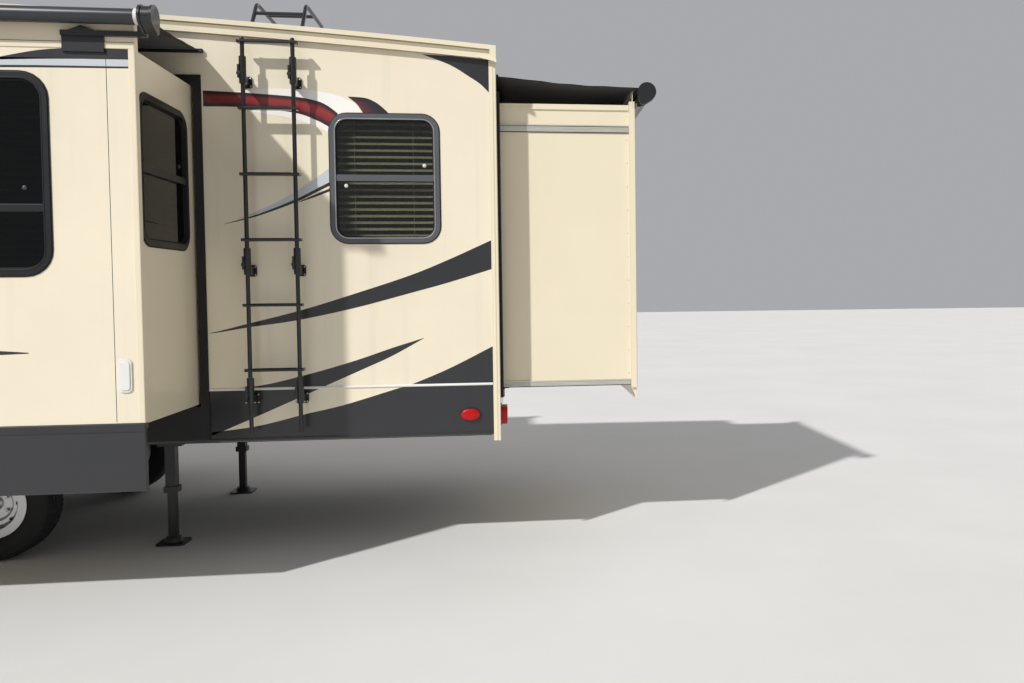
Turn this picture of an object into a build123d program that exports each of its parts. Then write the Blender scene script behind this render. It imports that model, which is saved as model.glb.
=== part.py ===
# A long travel caravan of the fifth-wheel kind, parked on its front legs with its three
# slide-out rooms extended: one in each side wall and one in the rear wall.
#
# Frame: millimetres, +X towards the towing end, +Y to the road side, +Z up.
# The origin is under the middle of the whole outline, on the ground.
# Lengths along the body are first given as stations: the distance ahead of the rear wall.
import os

from build123d import *

os.makedirs("parts", exist_ok=True)

# Body shell
BODY_LENGTH = 9500.0
BODY_WIDTH = 2440.0
WALL = 45.0  # thickness of every laminated wall
BELLY_Z = 730.0  # lower edge of the side walls
REAR_HEIGHT = 2440.0  # from that edge to the roof's surface at the rear
ROOF_RISE = 218.0  # how much higher the roof is from its crest forward
CREST_STATION = 5200.0  # where the roof's long curve turns level
ROOF = 60.0  # thickness of the roof
SEAM = 0.3  # gap between panels that meet
DRAFT = 20.0  # degrees by which the ends of cast caps and bosses lean in

HALF = BODY_WIDTH / 2

# Floor and raised front deck
FLOOR_Z = 860.0  # underside of the main floor
FLOOR = 70.0
DECK_LENGTH = 2500.0  # how far the raised deck and the cap reach ahead of the drop wall
NOSE = 550.0  # depth of the front cap
STEP_STATION = BODY_LENGTH - DECK_LENGTH  # the drop wall under the raised deck
DECK_Z = 1560.0  # underside of the raised deck
CAP_STATION = BODY_LENGTH - NOSE  # joint between side wall and front cap

# Chassis
RAIL_IN = 450.0  # from a side wall's surface to the middle of the rail
RAIL_Y = HALF - RAIL_IN
RAIL_HEIGHT = 200.0
RAIL_FLANGE = 70.0
RAIL_WEB = 8.0
RAIL_SKIN = 10.0  # flange thickness
CROSS_STATIONS = (90.0, 1300.0, 2500.0, 4700.0, STEP_STATION - 1100, STEP_STATION - 100)
CROSS_WIDTH = 50.0
CROSS_HEIGHT = 100.0

# Running gear
REAR_AXLE_STATION = 3120.0
AXLE_SPACING = 870.0
TYRE_RADIUS = 350.0
TYRE_WIDTH = 225.0
RIM_RADIUS = 196.0
RIM_WIDTH = 170.0
WHEEL_IN = 263.0  # from a side wall's surface to the middle of the tyre's tread
WHEEL_Y = HALF - WHEEL_IN
AXLE_RADIUS = 38.0
SPINDLE_RADIUS = 20.0
HUB_GAP = 0.5
DRUM_RADIUS = 135.0
SPRING_LENGTH = 640.0  # between the eyes of a main leaf
LEAVES = 4
LEAF_WIDTH = 45.0
LEAF = 8.0
LEAF_SAG = 60.0  # how far a spring's middle lies below its ends
LINK_DROP = 75.0  # how far a shackle hangs

# Stands
LEG_AHEAD = 140.0  # of the drop wall
LEG_STATION = STEP_STATION + LEG_AHEAD
LEG_IN = 360.0  # from a side wall's surface
LEG_Y = HALF - LEG_IN
LEG_SIDE = 90.0
LEG_INNER_SIDE = 72.0
LEG_SPLIT_Z = 560.0  # where the inner leg leaves the outer one
FOOT_SIDE = 240.0
FOOT = 12.0
JACK_STATION = 2150.0
JACK_SIDE = 64.0
JACK_INNER_SIDE = 50.0

# Hitch
PIN_BACK = 980.0  # from the foremost point back to the kingpin
KINGPIN_STATION = BODY_LENGTH - PIN_BACK
PIN_PLATE_Z = 1250.0
PIN_COLLAR_RADIUS = 36.5
PIN_COLLAR = 35.0
PIN_NECK_RADIUS = 25.4
PIN_NECK = 35.0
PIN_FLANGE_RADIUS = 35.7
PIN_FLANGE = 14.0

# Windows: outside sizes of the frames
FRAME_LIP = 8.0  # how far a frame stands out of its wall
FRAME_WIDTH = 34.0
FRAME_SEAT = 22.0  # how far the frame's lip laps over the wall
PANE = 6.0
PANE_DEPTH = 14.0  # how far the glass lies behind the wall's surface
BAR_HEIGHT = 40.0
BAR_SHARE = 0.505  # height of the middle bar, as a share of the window
BAR_BITE = 1.0  # how far the bar's ends reach into the frame

# Slide-out rooms
ROOM_OUT = 860.0  # how far the side rooms stand out
ROOM_SHELL = 40.0
ROOM_BOTTOM = 235.0  # above the body's lower edge
ROOM_BELOW_ROOF = 270.0  # from the roof's surface at the rear down to a side room's top
ROOM_TOP = REAR_HEIGHT - ROOM_BELOW_ROOF
ROOM_INBOARD = 70.0  # how far a room reaches in behind the wall's surface
FACE = 40.0
FACE_LAP = 20.0  # how far a face laps past its room
RUNNING_GAP = 5.5  # clearance of what moves past something fixed
SEAL = 10.0
SEAL_WIDTH = 63.0
SEAL_GAP = FRAME_LIP + RUNNING_GAP  # an end window's frame slides past the seal
ROOM_GAP = SEAL_GAP + 2.0  # clearance between a room and its opening
SKIRT_DROP = 325.0
SKIRT = 25.0
ROLLER_RADIUS = 38.0
CAP_RADIUS = 60.0
CAP_LENGTH = 70.0
ROLLER_OUT = 62.0
ROLLER_PAST = 150.0  # how far the roller reaches past each end of its room
CLOTH = 5.0
CLOTH_GAP = 1.0
RAIL_BEAD = 22.0

REAR_ROOM_OUT = 915.0
REAR_ROOM_IN = 200.0  # from a side wall's surface to the rear room's side
REAR_ROOM_HALF = HALF - REAR_ROOM_IN
REACH_BACK = REAR_ROOM_OUT + ROLLER_OUT + CAP_RADIUS
MIDDLE = (BODY_LENGTH - REACH_BACK) / 2
ROOF_REAR_Z = BELLY_Z + REAR_HEIGHT
ROOF_CREST_Z = ROOF_REAR_Z + ROOF_RISE
ROOF_RADIUS = (CREST_STATION**2 + ROOF_RISE**2) / (2 * ROOF_RISE)


def at(station):
    """X of a station."""
    return station - MIDDLE


def roof_z(station, below=0.0):
    """Height of the roof's surface, or of a line that lies a given distance below it."""
    if station >= CREST_STATION:
        return ROOF_CREST_Z - below
    radius = ROOF_RADIUS - below
    back = CREST_STATION - station
    return ROOF_CREST_Z - ROOF_RADIUS + (radius**2 - back**2) ** 0.5


def side_plane(y):
    """An upright plane along the body; extruding goes towards -Y."""
    return Plane(origin=(0, y, 0), x_dir=(1, 0, 0), z_dir=(0, -1, 0))


def cross_plane(x):
    """An upright plane across the body; extruding goes towards +X."""
    return Plane(origin=(x, 0, 0), x_dir=(0, 1, 0), z_dir=(1, 0, 0))


def block(x, y, z):
    """A block given by its low and high limits along each axis."""
    with Locations(((x[0] + x[1]) / 2, (y[0] + y[1]) / 2, (z[0] + z[1]) / 2)):
        Box(abs(x[1] - x[0]), abs(y[1] - y[0]), abs(z[1] - z[0]))


def save(piece, label):
    piece.part.label = label
    export_step(piece.part, f"parts/{label}.step")


# The three walls that carry rooms: local x along the wall, y up, z outwards
LEFT = Plane(origin=(0, HALF, 0), x_dir=(-1, 0, 0), z_dir=(0, 1, 0))
RIGHT = Plane(origin=(0, -HALF, 0), x_dir=(1, 0, 0), z_dir=(0, -1, 0))
REAR = Plane(origin=(at(0), 0, 0), x_dir=(0, -1, 0), z_dir=(-1, 0, 0))

# Rooms. Columns: name, wall, start and end along the wall, bottom, top, reach,
# height of the topper's roller, height of its cloth at the wall, skirt drop
LEFT_ROOM = (1820.0, STEP_STATION - 1500.0)  # stations of its ends
RIGHT_ROOM = (2400.0, STEP_STATION - 1800.0)
ROLLER_Z = ROOF_REAR_Z - 135.0
CLOTH_WALL_Z = ROOF_REAR_Z - 65.0
REAR_ROOM_BOTTOM = BELLY_Z + 280.0
REAR_ROOM_TOP = ROOF_REAR_Z - 305.0
REAR_ROLLER_Z = ROOF_REAR_Z - 245.0
REAR_CLOTH_WALL_Z = ROOF_REAR_Z - 150.0
SIDE_ROOM_Z = (BELLY_Z + ROOM_BOTTOM, BELLY_Z + ROOM_TOP)
ROOMS = (
    ("left_room", LEFT, (-at(LEFT_ROOM[1]), -at(LEFT_ROOM[0])), SIDE_ROOM_Z, ROOM_OUT,
     ROLLER_Z, CLOTH_WALL_Z, SKIRT_DROP),
    ("right_room", RIGHT, (at(RIGHT_ROOM[0]), at(RIGHT_ROOM[1])), SIDE_ROOM_Z, ROOM_OUT,
     ROLLER_Z, CLOTH_WALL_Z, SKIRT_DROP),
    ("rear_room", REAR, (-REAR_ROOM_HALF, REAR_ROOM_HALF), (REAR_ROOM_BOTTOM, REAR_ROOM_TOP),
     REAR_ROOM_OUT, REAR_ROLLER_Z, REAR_CLOTH_WALL_Z, 0.0),
)

# Windows in the body's own walls.
# Columns: wall, middle along the wall, middle height, width, height, corner radius
REAR_SIDE_WINDOW = (681.0, ROOF_REAR_Z - 824.0, 663.0, 798.0, 105.0)
BED_WINDOW = (CAP_STATION - 1000.0, ROOF_REAR_Z - 630.0, 760.0, 440.0, 90.0)
WALL_WINDOWS = tuple(
    (wall, flip * at(station), z, width, height, radius)
    for wall, flip in ((LEFT, -1), (RIGHT, 1))
    for station, z, width, height, radius in (REAR_SIDE_WINDOW, BED_WINDOW)
)

# Windows in the rooms' faces. Columns: room, middle along the wall, middle height, width,
# height, corner radius
FACE_RADIUS = 130.0
TALL = 1026.0  # height of the side rooms' large windows
FACE_WINDOW_Z = BELLY_Z + ROOM_TOP - 647.0
FACE_WINDOWS = (
    ("left_room", -at(LEFT_ROOM[0] + 855.0), FACE_WINDOW_Z, 912.0, TALL, FACE_RADIUS),
    ("left_room", -at(LEFT_ROOM[1] - 1000.0), FACE_WINDOW_Z, 912.0, TALL, FACE_RADIUS),
    ("right_room", at(sum(RIGHT_ROOM) / 2), FACE_WINDOW_Z, 1400.0, TALL, FACE_RADIUS),
    ("rear_room", 0.0, REAR_ROOM_TOP - 635.0, 1420.0, 900.0, FACE_RADIUS),
)
# Windows in the side rooms' rear ends.
# Columns: room, station of the end, side, middle outwards, middle height, width, height, radius
END_WINDOW = (ROOM_OUT - 420.0, BELLY_Z + ROOM_TOP - 599.0, 700.0, 806.0, 105.0)
END_WINDOWS = (
    ("left_room", LEFT_ROOM[0], 1, *END_WINDOW),
    ("right_room", RIGHT_ROOM[0], -1, *END_WINDOW),
)

# Doors. Columns: low and high station, low and high edge above the body's lower edge
ENTRY = (STEP_STATION - 1360.0, STEP_STATION - 680.0, 190.0, REAR_HEIGHT - 370.0)
LEFT_HATCH = (STEP_STATION - 1240.0, STEP_STATION - 240.0, 120.0, 640.0)
RIGHT_HATCH = (STEP_STATION - 440.0, STEP_STATION - 50.0, 120.0, 640.0)
DOOR_GAP = 6.0
DOOR = 38.0
DOOR_RADIUS = 60.0
HINGE_OUT = 12.0  # hinge line outside the wall's surface
HINGE_RADIUS = 6.0


def room_opening(wall):
    """Cuts the opening of each room that stands in a wall; used while that wall is made."""
    for _, plane, along, z, *_ in ROOMS:
        if plane is not wall:
            continue
        with BuildSketch(plane.offset(-2 * WALL)) as hole:
            with Locations((sum(along) / 2, sum(z) / 2)):
                Rectangle(along[1] - along[0] + 2 * ROOM_GAP, z[1] - z[0] + 2 * ROOM_GAP)
        extrude(hole.sketch, amount=3 * WALL, mode=Mode.SUBTRACT)


def window_cut(plane, x, y, width, height, radius, thickness):
    """Cuts the hole of one window, smaller than its frame by the frame's seat."""
    with BuildSketch(plane.offset(-1.5 * thickness)) as hole:
        with Locations((x, y)):
            RectangleRounded(width - 2 * FRAME_SEAT, height - 2 * FRAME_SEAT, radius - FRAME_SEAT)
    extrude(hole.sketch, amount=2 * thickness, mode=Mode.SUBTRACT)


def window_frame(plane, x, y, width, height, radius):
    """A frame with a lip over the wall, a sleeve in the hole and a bar across the middle."""
    sight = (width - 2 * FRAME_WIDTH, height - 2 * FRAME_WIDTH, radius - FRAME_WIDTH)
    with BuildSketch(plane) as lip:
        with Locations((x, y)):
            RectangleRounded(width, height, radius)
            RectangleRounded(*sight, mode=Mode.SUBTRACT)
    extrude(lip.sketch, amount=FRAME_LIP)
    seat = FRAME_SEAT + SEAM
    with BuildSketch(plane) as sleeve:
        with Locations((x, y)):
            RectangleRounded(width - 2 * seat, height - 2 * seat, radius - seat)
            RectangleRounded(*sight, mode=Mode.SUBTRACT)
    extrude(sleeve.sketch, amount=-(PANE_DEPTH + PANE))
    with BuildSketch(plane.offset(-PANE_DEPTH + SEAM)) as bar:
        with Locations((x, y - height / 2 + height * BAR_SHARE)):
            Rectangle(sight[0] + 2 * BAR_BITE, BAR_HEIGHT)
    extrude(bar.sketch, amount=PANE_DEPTH - SEAM + FRAME_LIP / 2)


def window_pane(plane, x, y, width, height, radius):
    inset = FRAME_WIDTH + SEAM
    with BuildSketch(plane.offset(-PANE_DEPTH - PANE)) as glass:
        with Locations((x, y)):
            RectangleRounded(width - 2 * inset, height - 2 * inset, radius - inset)
    extrude(glass.sketch, amount=PANE)


def door_cut(station, z, thickness=WALL, side=-1):
    """Cuts the hole of a door or hatch through a side wall."""
    with BuildSketch(side_plane(side * HALF + 2 * thickness)) as hole:
        with Locations((at(sum(station) / 2), sum(z) / 2)):
            RectangleRounded(station[1] - station[0], z[1] - z[0], DOOR_RADIUS)
    extrude(hole.sketch, amount=4 * thickness, mode=Mode.SUBTRACT)


def wall_outline(top_drop):
    """The side wall's outline, a given distance below the roof's surface."""
    with BuildLine() as outline:
        Polyline(
            (at(0), roof_z(0, top_drop)),
            (at(0), BELLY_Z),
            (at(STEP_STATION), BELLY_Z),
            (at(STEP_STATION), DECK_Z),
            (at(CAP_STATION), DECK_Z),
            (at(CAP_STATION), ROOF_CREST_Z - top_drop),
            (at(CREST_STATION), ROOF_CREST_Z - top_drop),
        )
        ThreePointArc(
            (at(CREST_STATION), ROOF_CREST_Z - top_drop),
            (at(CREST_STATION / 2), roof_z(CREST_STATION / 2, top_drop)),
            (at(0), roof_z(0, top_drop)),
        )
    make_face(outline.edges())


def band(low, high, start, end):
    """A strip that follows the roof line between two depths below its surface."""
    with BuildLine() as outline:
        top = ThreePointArc(
            (at(start), roof_z(start, low)),
            (at((start + CREST_STATION) / 2), roof_z((start + CREST_STATION) / 2, low)),
            (at(CREST_STATION), roof_z(CREST_STATION, low)),
        )
        Polyline(
            top @ 1,
            (at(end), ROOF_CREST_Z - low),
            (at(end), ROOF_CREST_Z - high),
            (at(CREST_STATION), ROOF_CREST_Z - high),
        )
        bottom = ThreePointArc(
            (at(CREST_STATION), roof_z(CREST_STATION, high)),
            (at((start + CREST_STATION) / 2), roof_z((start + CREST_STATION) / 2, high)),
            (at(start), roof_z(start, high)),
        )
        Line(bottom @ 1, top @ 0)
    make_face(outline.edges())


# Side walls
for side, wall, label in ((1, LEFT, "left_wall"), (-1, RIGHT, "right_wall")):
    with BuildPart() as side_wall:
        with BuildSketch(side_plane(HALF if side > 0 else -HALF + WALL)):
            wall_outline(ROOF + SEAM)
        extrude(amount=WALL)
        room_opening(wall)
        for plane, x, y, width, height, radius in WALL_WINDOWS:
            if plane is wall:
                window_cut(plane, x, y, width, height, radius, WALL)
        doors = (LEFT_HATCH,) if side > 0 else (ENTRY, RIGHT_HATCH)
        for low, high, bottom, top in doors:
            door_cut((low, high), (BELLY_Z + bottom, BELLY_Z + top), side=side)
    save(side_wall, label)

# Rear wall, between the side walls
INSIDE_Y = HALF - WALL - SEAM
with BuildPart() as rear_wall:
    block((at(0), at(WALL)), (-INSIDE_Y, INSIDE_Y), (BELLY_Z, roof_z(0, ROOF + 2 * SEAM) - SEAM))
    room_opening(REAR)
save(rear_wall, "rear_wall")

# Roof, on top of the walls
with BuildPart() as roof:
    with BuildSketch(side_plane(HALF)):
        band(0.0, ROOF, 0.0, CAP_STATION)
    extrude(amount=BODY_WIDTH)
save(roof, "roof")

# Gutter rails along both roof edges, each with two ridges and a spout at its rear end
GUTTER_LOW = 82.0  # its lower edge below the roof's surface
GUTTER = 24.0
RIDGE = 7.0
GUTTER_HIGH = -6.0  # its upper edge stands this far over the roof's surface
GUTTER_END = -8.0  # station of its rear end, just past the corner
RIDGES = ((GUTTER_HIGH, 22.0), (50.0, GUTTER_LOW))
with BuildPart() as gutters:
    for y in (HALF + SEAM + GUTTER, -HALF - SEAM):
        with BuildSketch(side_plane(y)):
            band(GUTTER_HIGH, GUTTER_LOW, GUTTER_END, CAP_STATION)
        extrude(amount=GUTTER)
    for y in (HALF + SEAM + GUTTER + RIDGE, -HALF - SEAM - GUTTER):
        for low, high in RIDGES:
            with BuildSketch(side_plane(y)):
                band(low, high, GUTTER_END, CAP_STATION)
            extrude(amount=RIDGE)
save(gutters, "gutters")

# Corner mouldings: angles that wrap the two rear corners
CORNER_FACE = 36.0
CORNER = 5.0
CORNER_PAST = 40.0  # how far they reach below the walls
CORNER_GAP = 2.0  # under the gutter
with BuildPart() as corners:
    for side in (1, -1):
        outer = side * (HALF + SEAM + CORNER)
        height = (BELLY_Z - CORNER_PAST, roof_z(0, GUTTER_LOW) - CORNER_GAP)
        block((at(-CORNER), at(CORNER_FACE)), (side * (HALF + SEAM), outer), height)
        block((at(-CORNER - SEAM), at(-SEAM)), (side * (HALF - CORNER_FACE), outer), height)
save(corners, "corner_mouldings")


# Front cap: a moulded shell with a rounded nose, open behind
NOSE_LEAN = 150.0  # how far the nose leans back at the roof
NOSE_TUCK = 90.0  # how far it tucks in at the deck
NOSE_FULL_Z = 700.0  # height of its foremost point above the deck's underside
NOSE_BOW = 390.0  # how far the nose bows back towards each side wall
NOSE_CORNER = 200.0  # radius of its upright corners
CHIN = 150.0  # where its underside starts to rise, ahead of the joint, and how high it bends
BROW = (160.0, 60.0)  # where its top bends: below the roof, and ahead of the joint
CAP_LIP = 20.0  # depth of the opening in its back edge


def cap_body(inset):
    nose = at(BODY_LENGTH) - inset
    back = at(CAP_STATION) + SEAM
    top = ROOF_CREST_Z - inset
    foot = DECK_Z + inset
    full = DECK_Z + NOSE_FULL_Z
    half = HALF - inset
    side = nose - NOSE_BOW
    with BuildSketch(side_plane(half)) as side_view:
        with BuildLine():
            ThreePointArc((back + CHIN, foot), (nose - NOSE_TUCK, foot + CHIN), (nose, full))
            ThreePointArc((nose, full), (nose - NOSE_LEAN, top - BROW[0]), (back + BROW[1], top))
            Polyline((back + BROW[1], top), (back, top), (back, foot), (back + CHIN, foot))
        make_face()
    extrude(side_view.sketch, amount=2 * half)
    with BuildSketch(Plane.XY.offset(foot)) as plan:
        with BuildLine():
            Polyline((side, half), (back, half), (back, -half), (side, -half))
            ThreePointArc((side, -half), (nose, 0), (side, half))
        make_face()
        fillet(plan.vertices().group_by(Axis.X)[-1], NOSE_CORNER - inset)
    extrude(plan.sketch, amount=top - foot, mode=Mode.INTERSECT)


with BuildPart() as cap_hollow:
    cap_body(WALL)
with BuildPart() as front_cap:
    cap_body(0.0)
    with BuildSketch(cross_plane(at(CAP_STATION))):
        with Locations((0, (DECK_Z + ROOF_CREST_Z) / 2)):
            Rectangle(BODY_WIDTH - 2 * WALL, ROOF_CREST_Z - DECK_Z - 2 * WALL)
    extrude(amount=CAP_LIP, mode=Mode.SUBTRACT)
    add(cap_hollow.part, mode=Mode.SUBTRACT)
save(front_cap, "front_cap")

# Main floor, with the thin pan under it in strips between the chassis rails
PAN = 6.0
FLOOR_TOP = FLOOR_Z + FLOOR
with BuildPart() as floor:
    block((at(WALL + SEAM), at(STEP_STATION - WALL - SEAM)), (-INSIDE_Y, INSIDE_Y),
          (FLOOR_Z, FLOOR_TOP))
save(floor, "floor")

STRIP_IN = RAIL_Y - RAIL_FLANGE / 2 - SEAM
STRIP_OUT = RAIL_Y + RAIL_FLANGE / 2 + SEAM
with BuildPart() as belly_pan:
    for low, high in ((-INSIDE_Y, -STRIP_OUT), (-STRIP_IN, STRIP_IN), (STRIP_OUT, INSIDE_Y)):
        block((at(WALL + SEAM), at(STEP_STATION - WALL - SEAM)), (low, high),
              (BELLY_Z, BELLY_Z + PAN))
save(belly_pan, "belly_pan")

# Raised deck and the drop wall that carries it
with BuildPart() as deck:
    block((at(STEP_STATION - WALL), at(STEP_STATION)), (-INSIDE_Y, INSIDE_Y),
          (BELLY_Z, DECK_Z + FLOOR))
    block((at(STEP_STATION - WALL), at(CAP_STATION - SEAM)), (-INSIDE_Y, INSIDE_Y),
          (DECK_Z, DECK_Z + FLOOR))
save(deck, "deck")

# Chassis: two I-beams with cross members, and the upper frame under the deck
RAIL_TOP = FLOOR_Z - SEAM
RAIL_LOW = RAIL_TOP - RAIL_HEIGHT
RAIL_START = 60.0  # station of the rails' rear ends
with BuildPart() as chassis:
    for side in (1, -1):
        with BuildSketch(cross_plane(at(RAIL_START))):
            with Locations((side * RAIL_Y, RAIL_TOP - RAIL_HEIGHT / 2)):
                Rectangle(RAIL_FLANGE, RAIL_HEIGHT)
            for edge in (1, -1):
                with Locations((side * RAIL_Y + edge * (RAIL_FLANGE + RAIL_WEB) / 4,
                                RAIL_TOP - RAIL_HEIGHT / 2)):
                    Rectangle((RAIL_FLANGE - RAIL_WEB) / 2, RAIL_HEIGHT - 2 * RAIL_SKIN,
                              mode=Mode.SUBTRACT)
        extrude(amount=STEP_STATION - WALL - RAIL_START - SEAM)
    for station in CROSS_STATIONS:
        block((at(station), at(station + CROSS_WIDTH)), (-RAIL_Y, RAIL_Y),
              (RAIL_TOP - CROSS_HEIGHT, RAIL_TOP))
save(chassis, "chassis")

UPPER_SIDE = 90.0
UPPER_SHORT = 60.0  # how far the upper frame ends before the front cap
UPPER_CROSS = (STEP_STATION + SEAM, KINGPIN_STATION - 260.0, KINGPIN_STATION + 200.0)
UPPER_LOW = DECK_Z - UPPER_SIDE
with BuildPart() as upper_frame:
    for side in (1, -1):
        block((at(STEP_STATION + SEAM), at(CAP_STATION - UPPER_SHORT)),
              (side * (LEG_Y - UPPER_SIDE / 2), side * (LEG_Y + UPPER_SIDE / 2)),
              (UPPER_LOW, DECK_Z - SEAM))
    for station in UPPER_CROSS:
        block((at(station), at(station + CROSS_WIDTH)), (-LEG_Y, LEG_Y), (UPPER_LOW, DECK_Z - SEAM))
save(upper_frame, "upper_frame")

# Pin box: a box of welded plates, open at the back, that tapers down to the plate with the
# kingpin. Gussets brace its sides against the flange under the upper frame.
BOX_TOP_Z = UPPER_LOW - SEAM
BOX_HALF = 190.0
BOX_LONG = (KINGPIN_STATION - 420.0, KINGPIN_STATION + 240.0)
BOX_EDGE = 60.0  # height of its upright front and back edges
BOX_WALL = 12.0
FLANGE_PAST = 60.0
GUSSET = 8.0
GUSSETS = 4
PLATE_HALF = 150.0
PLATE = 14.0


def box_outline(inset):
    """The pin box from the side, a wall's thickness inside its outline or on it."""
    low = PIN_PLATE_Z + PLATE
    with BuildLine() as outline:
        Polyline(
            (at(BOX_LONG[0]) + inset, BOX_TOP_Z - inset),
            (at(BOX_LONG[1]) - inset, BOX_TOP_Z - inset),
            (at(BOX_LONG[1]) - inset, BOX_TOP_Z - BOX_EDGE),
            (at(KINGPIN_STATION + PLATE_HALF) - inset, low + inset),
            (at(KINGPIN_STATION - PLATE_HALF) + inset, low + inset),
            (at(BOX_LONG[0]) + inset, BOX_TOP_Z - BOX_EDGE),
            close=True,
        )
    make_face(outline.edges())


with BuildPart() as pin_box:
    with BuildSketch(side_plane(BOX_HALF)):
        box_outline(0.0)
    extrude(amount=2 * BOX_HALF)
    with BuildSketch(side_plane(BOX_HALF - BOX_WALL)):
        box_outline(BOX_WALL)
    extrude(amount=2 * (BOX_HALF - BOX_WALL), mode=Mode.SUBTRACT)
    block((at(BOX_LONG[0]), at(BOX_LONG[0]) + 2 * BOX_WALL), (-BOX_HALF, BOX_HALF),
          (BOX_TOP_Z - BOX_EDGE, BOX_TOP_Z - BOX_WALL))
    with BuildSketch(cross_plane(at(BOX_LONG[0]))):
        with Locations((0, BOX_TOP_Z - (BOX_EDGE + BOX_WALL) / 2)):
            Rectangle(BOX_HALF, BOX_EDGE - 2 * BOX_WALL)
    extrude(amount=3 * BOX_WALL, mode=Mode.SUBTRACT)
    block((at(BOX_LONG[0]), at(BOX_LONG[1])), (-BOX_HALF - FLANGE_PAST, BOX_HALF + FLANGE_PAST),
          (BOX_TOP_Z - BOX_WALL, BOX_TOP_Z))
    spacing = (BOX_LONG[1] - BOX_LONG[0] - 2 * BOX_WALL - GUSSET) / (GUSSETS - 1)
    for side in (1, -1):
        for count in range(GUSSETS):
            with BuildSketch(cross_plane(at(BOX_LONG[0] + BOX_WALL + count * spacing))):
                with BuildLine():
                    Polyline((side * BOX_HALF, BOX_TOP_Z - BOX_WALL),
                             (side * (BOX_HALF + FLANGE_PAST), BOX_TOP_Z - BOX_WALL),
                             (side * BOX_HALF, BOX_TOP_Z - BOX_EDGE), close=True)
                make_face()
            extrude(amount=GUSSET)
    block((at(KINGPIN_STATION - PLATE_HALF), at(KINGPIN_STATION + PLATE_HALF)),
          (-BOX_HALF, BOX_HALF), (PIN_PLATE_Z, PIN_PLATE_Z + PLATE))
    with BuildSketch(side_plane(0)):
        with BuildLine():
            x0 = at(KINGPIN_STATION)
            z1 = PIN_PLATE_Z - PIN_COLLAR
            z2 = z1 - PIN_NECK
            z3 = z2 - PIN_FLANGE
            Polyline((x0, PIN_PLATE_Z), (x0 + PIN_COLLAR_RADIUS, PIN_PLATE_Z),
                     (x0 + PIN_COLLAR_RADIUS, z1), (x0 + PIN_NECK_RADIUS, z1),
                     (x0 + PIN_NECK_RADIUS, z2), (x0 + PIN_FLANGE_RADIUS, z2),
                     (x0 + PIN_FLANGE_RADIUS, z3), (x0, z3), close=True)
        make_face()
    revolve(axis=Axis((x0, 0, 0), (0, 0, 1)))
save(pin_box, "pin_box")

# Axles: tubes with backing plates and spindles
BACKING_IN = 117.0  # from the middle of the tyre's tread in to the backing plate
BACKING_Y = WHEEL_Y - BACKING_IN
BACKING = 6.0
SPINDLE_OUT = 20.0
SPINDLE_END = WHEEL_Y + SPINDLE_OUT
with BuildPart() as axles:
    for station in (REAR_AXLE_STATION, REAR_AXLE_STATION + AXLE_SPACING):
        x = at(station)
        with BuildSketch(Plane(origin=(x, -BACKING_Y, TYRE_RADIUS), z_dir=(0, 1, 0))):
            Circle(AXLE_RADIUS)
        extrude(amount=2 * BACKING_Y)
        for side in (1, -1):
            with BuildSketch(Plane(origin=(x, side * BACKING_Y, TYRE_RADIUS),
                                   z_dir=(0, side, 0))):
                Circle(DRUM_RADIUS)
            extrude(amount=-BACKING)
            with BuildSketch(Plane(origin=(x, side * BACKING_Y, TYRE_RADIUS),
                                   z_dir=(0, side, 0))):
                Circle(SPINDLE_RADIUS)
            extrude(amount=SPINDLE_END - BACKING_Y)
save(axles, "axles")

# Leaf springs over the axles. The main leaf of each ends in two rolled eyes, shorter leaves
# of the same curve lie under it, and two U-bolts hold the pack on its seat over the axle.
LEAF_STEP = 0.2  # how much shorter each next leaf is, as a share of the main leaf
SEAT_Z = TYRE_RADIUS + AXLE_RADIUS
SEAT = 12.0
SEAT_HALF = (60.0, 40.0)  # along and across
TIE_PLATE = 10.0
U_BOLT = 6.0  # radius of its rod
U_BOLT_PAST = 14.0
EYE_RADIUS = 18.0
EYE_BORE = 10.0
PIN_GAP = 0.3
LEAVES_TOP = SEAT_Z + SEAT + LEAVES * LEAF
EYE_Z = LEAVES_TOP + LEAF_SAG - LEAF + EYE_RADIUS
AXLE_STATIONS = (REAR_AXLE_STATION, REAR_AXLE_STATION + AXLE_SPACING)


def pin(x, y, z, half):
    """A cross pin through the line of a spring's eyes, on both sides of a spring's middle."""
    with BuildSketch(side_plane(y + half)) as section:
        with Locations((x, z)):
            Circle(EYE_BORE - PIN_GAP)
    extrude(section.sketch, amount=2 * half)


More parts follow.
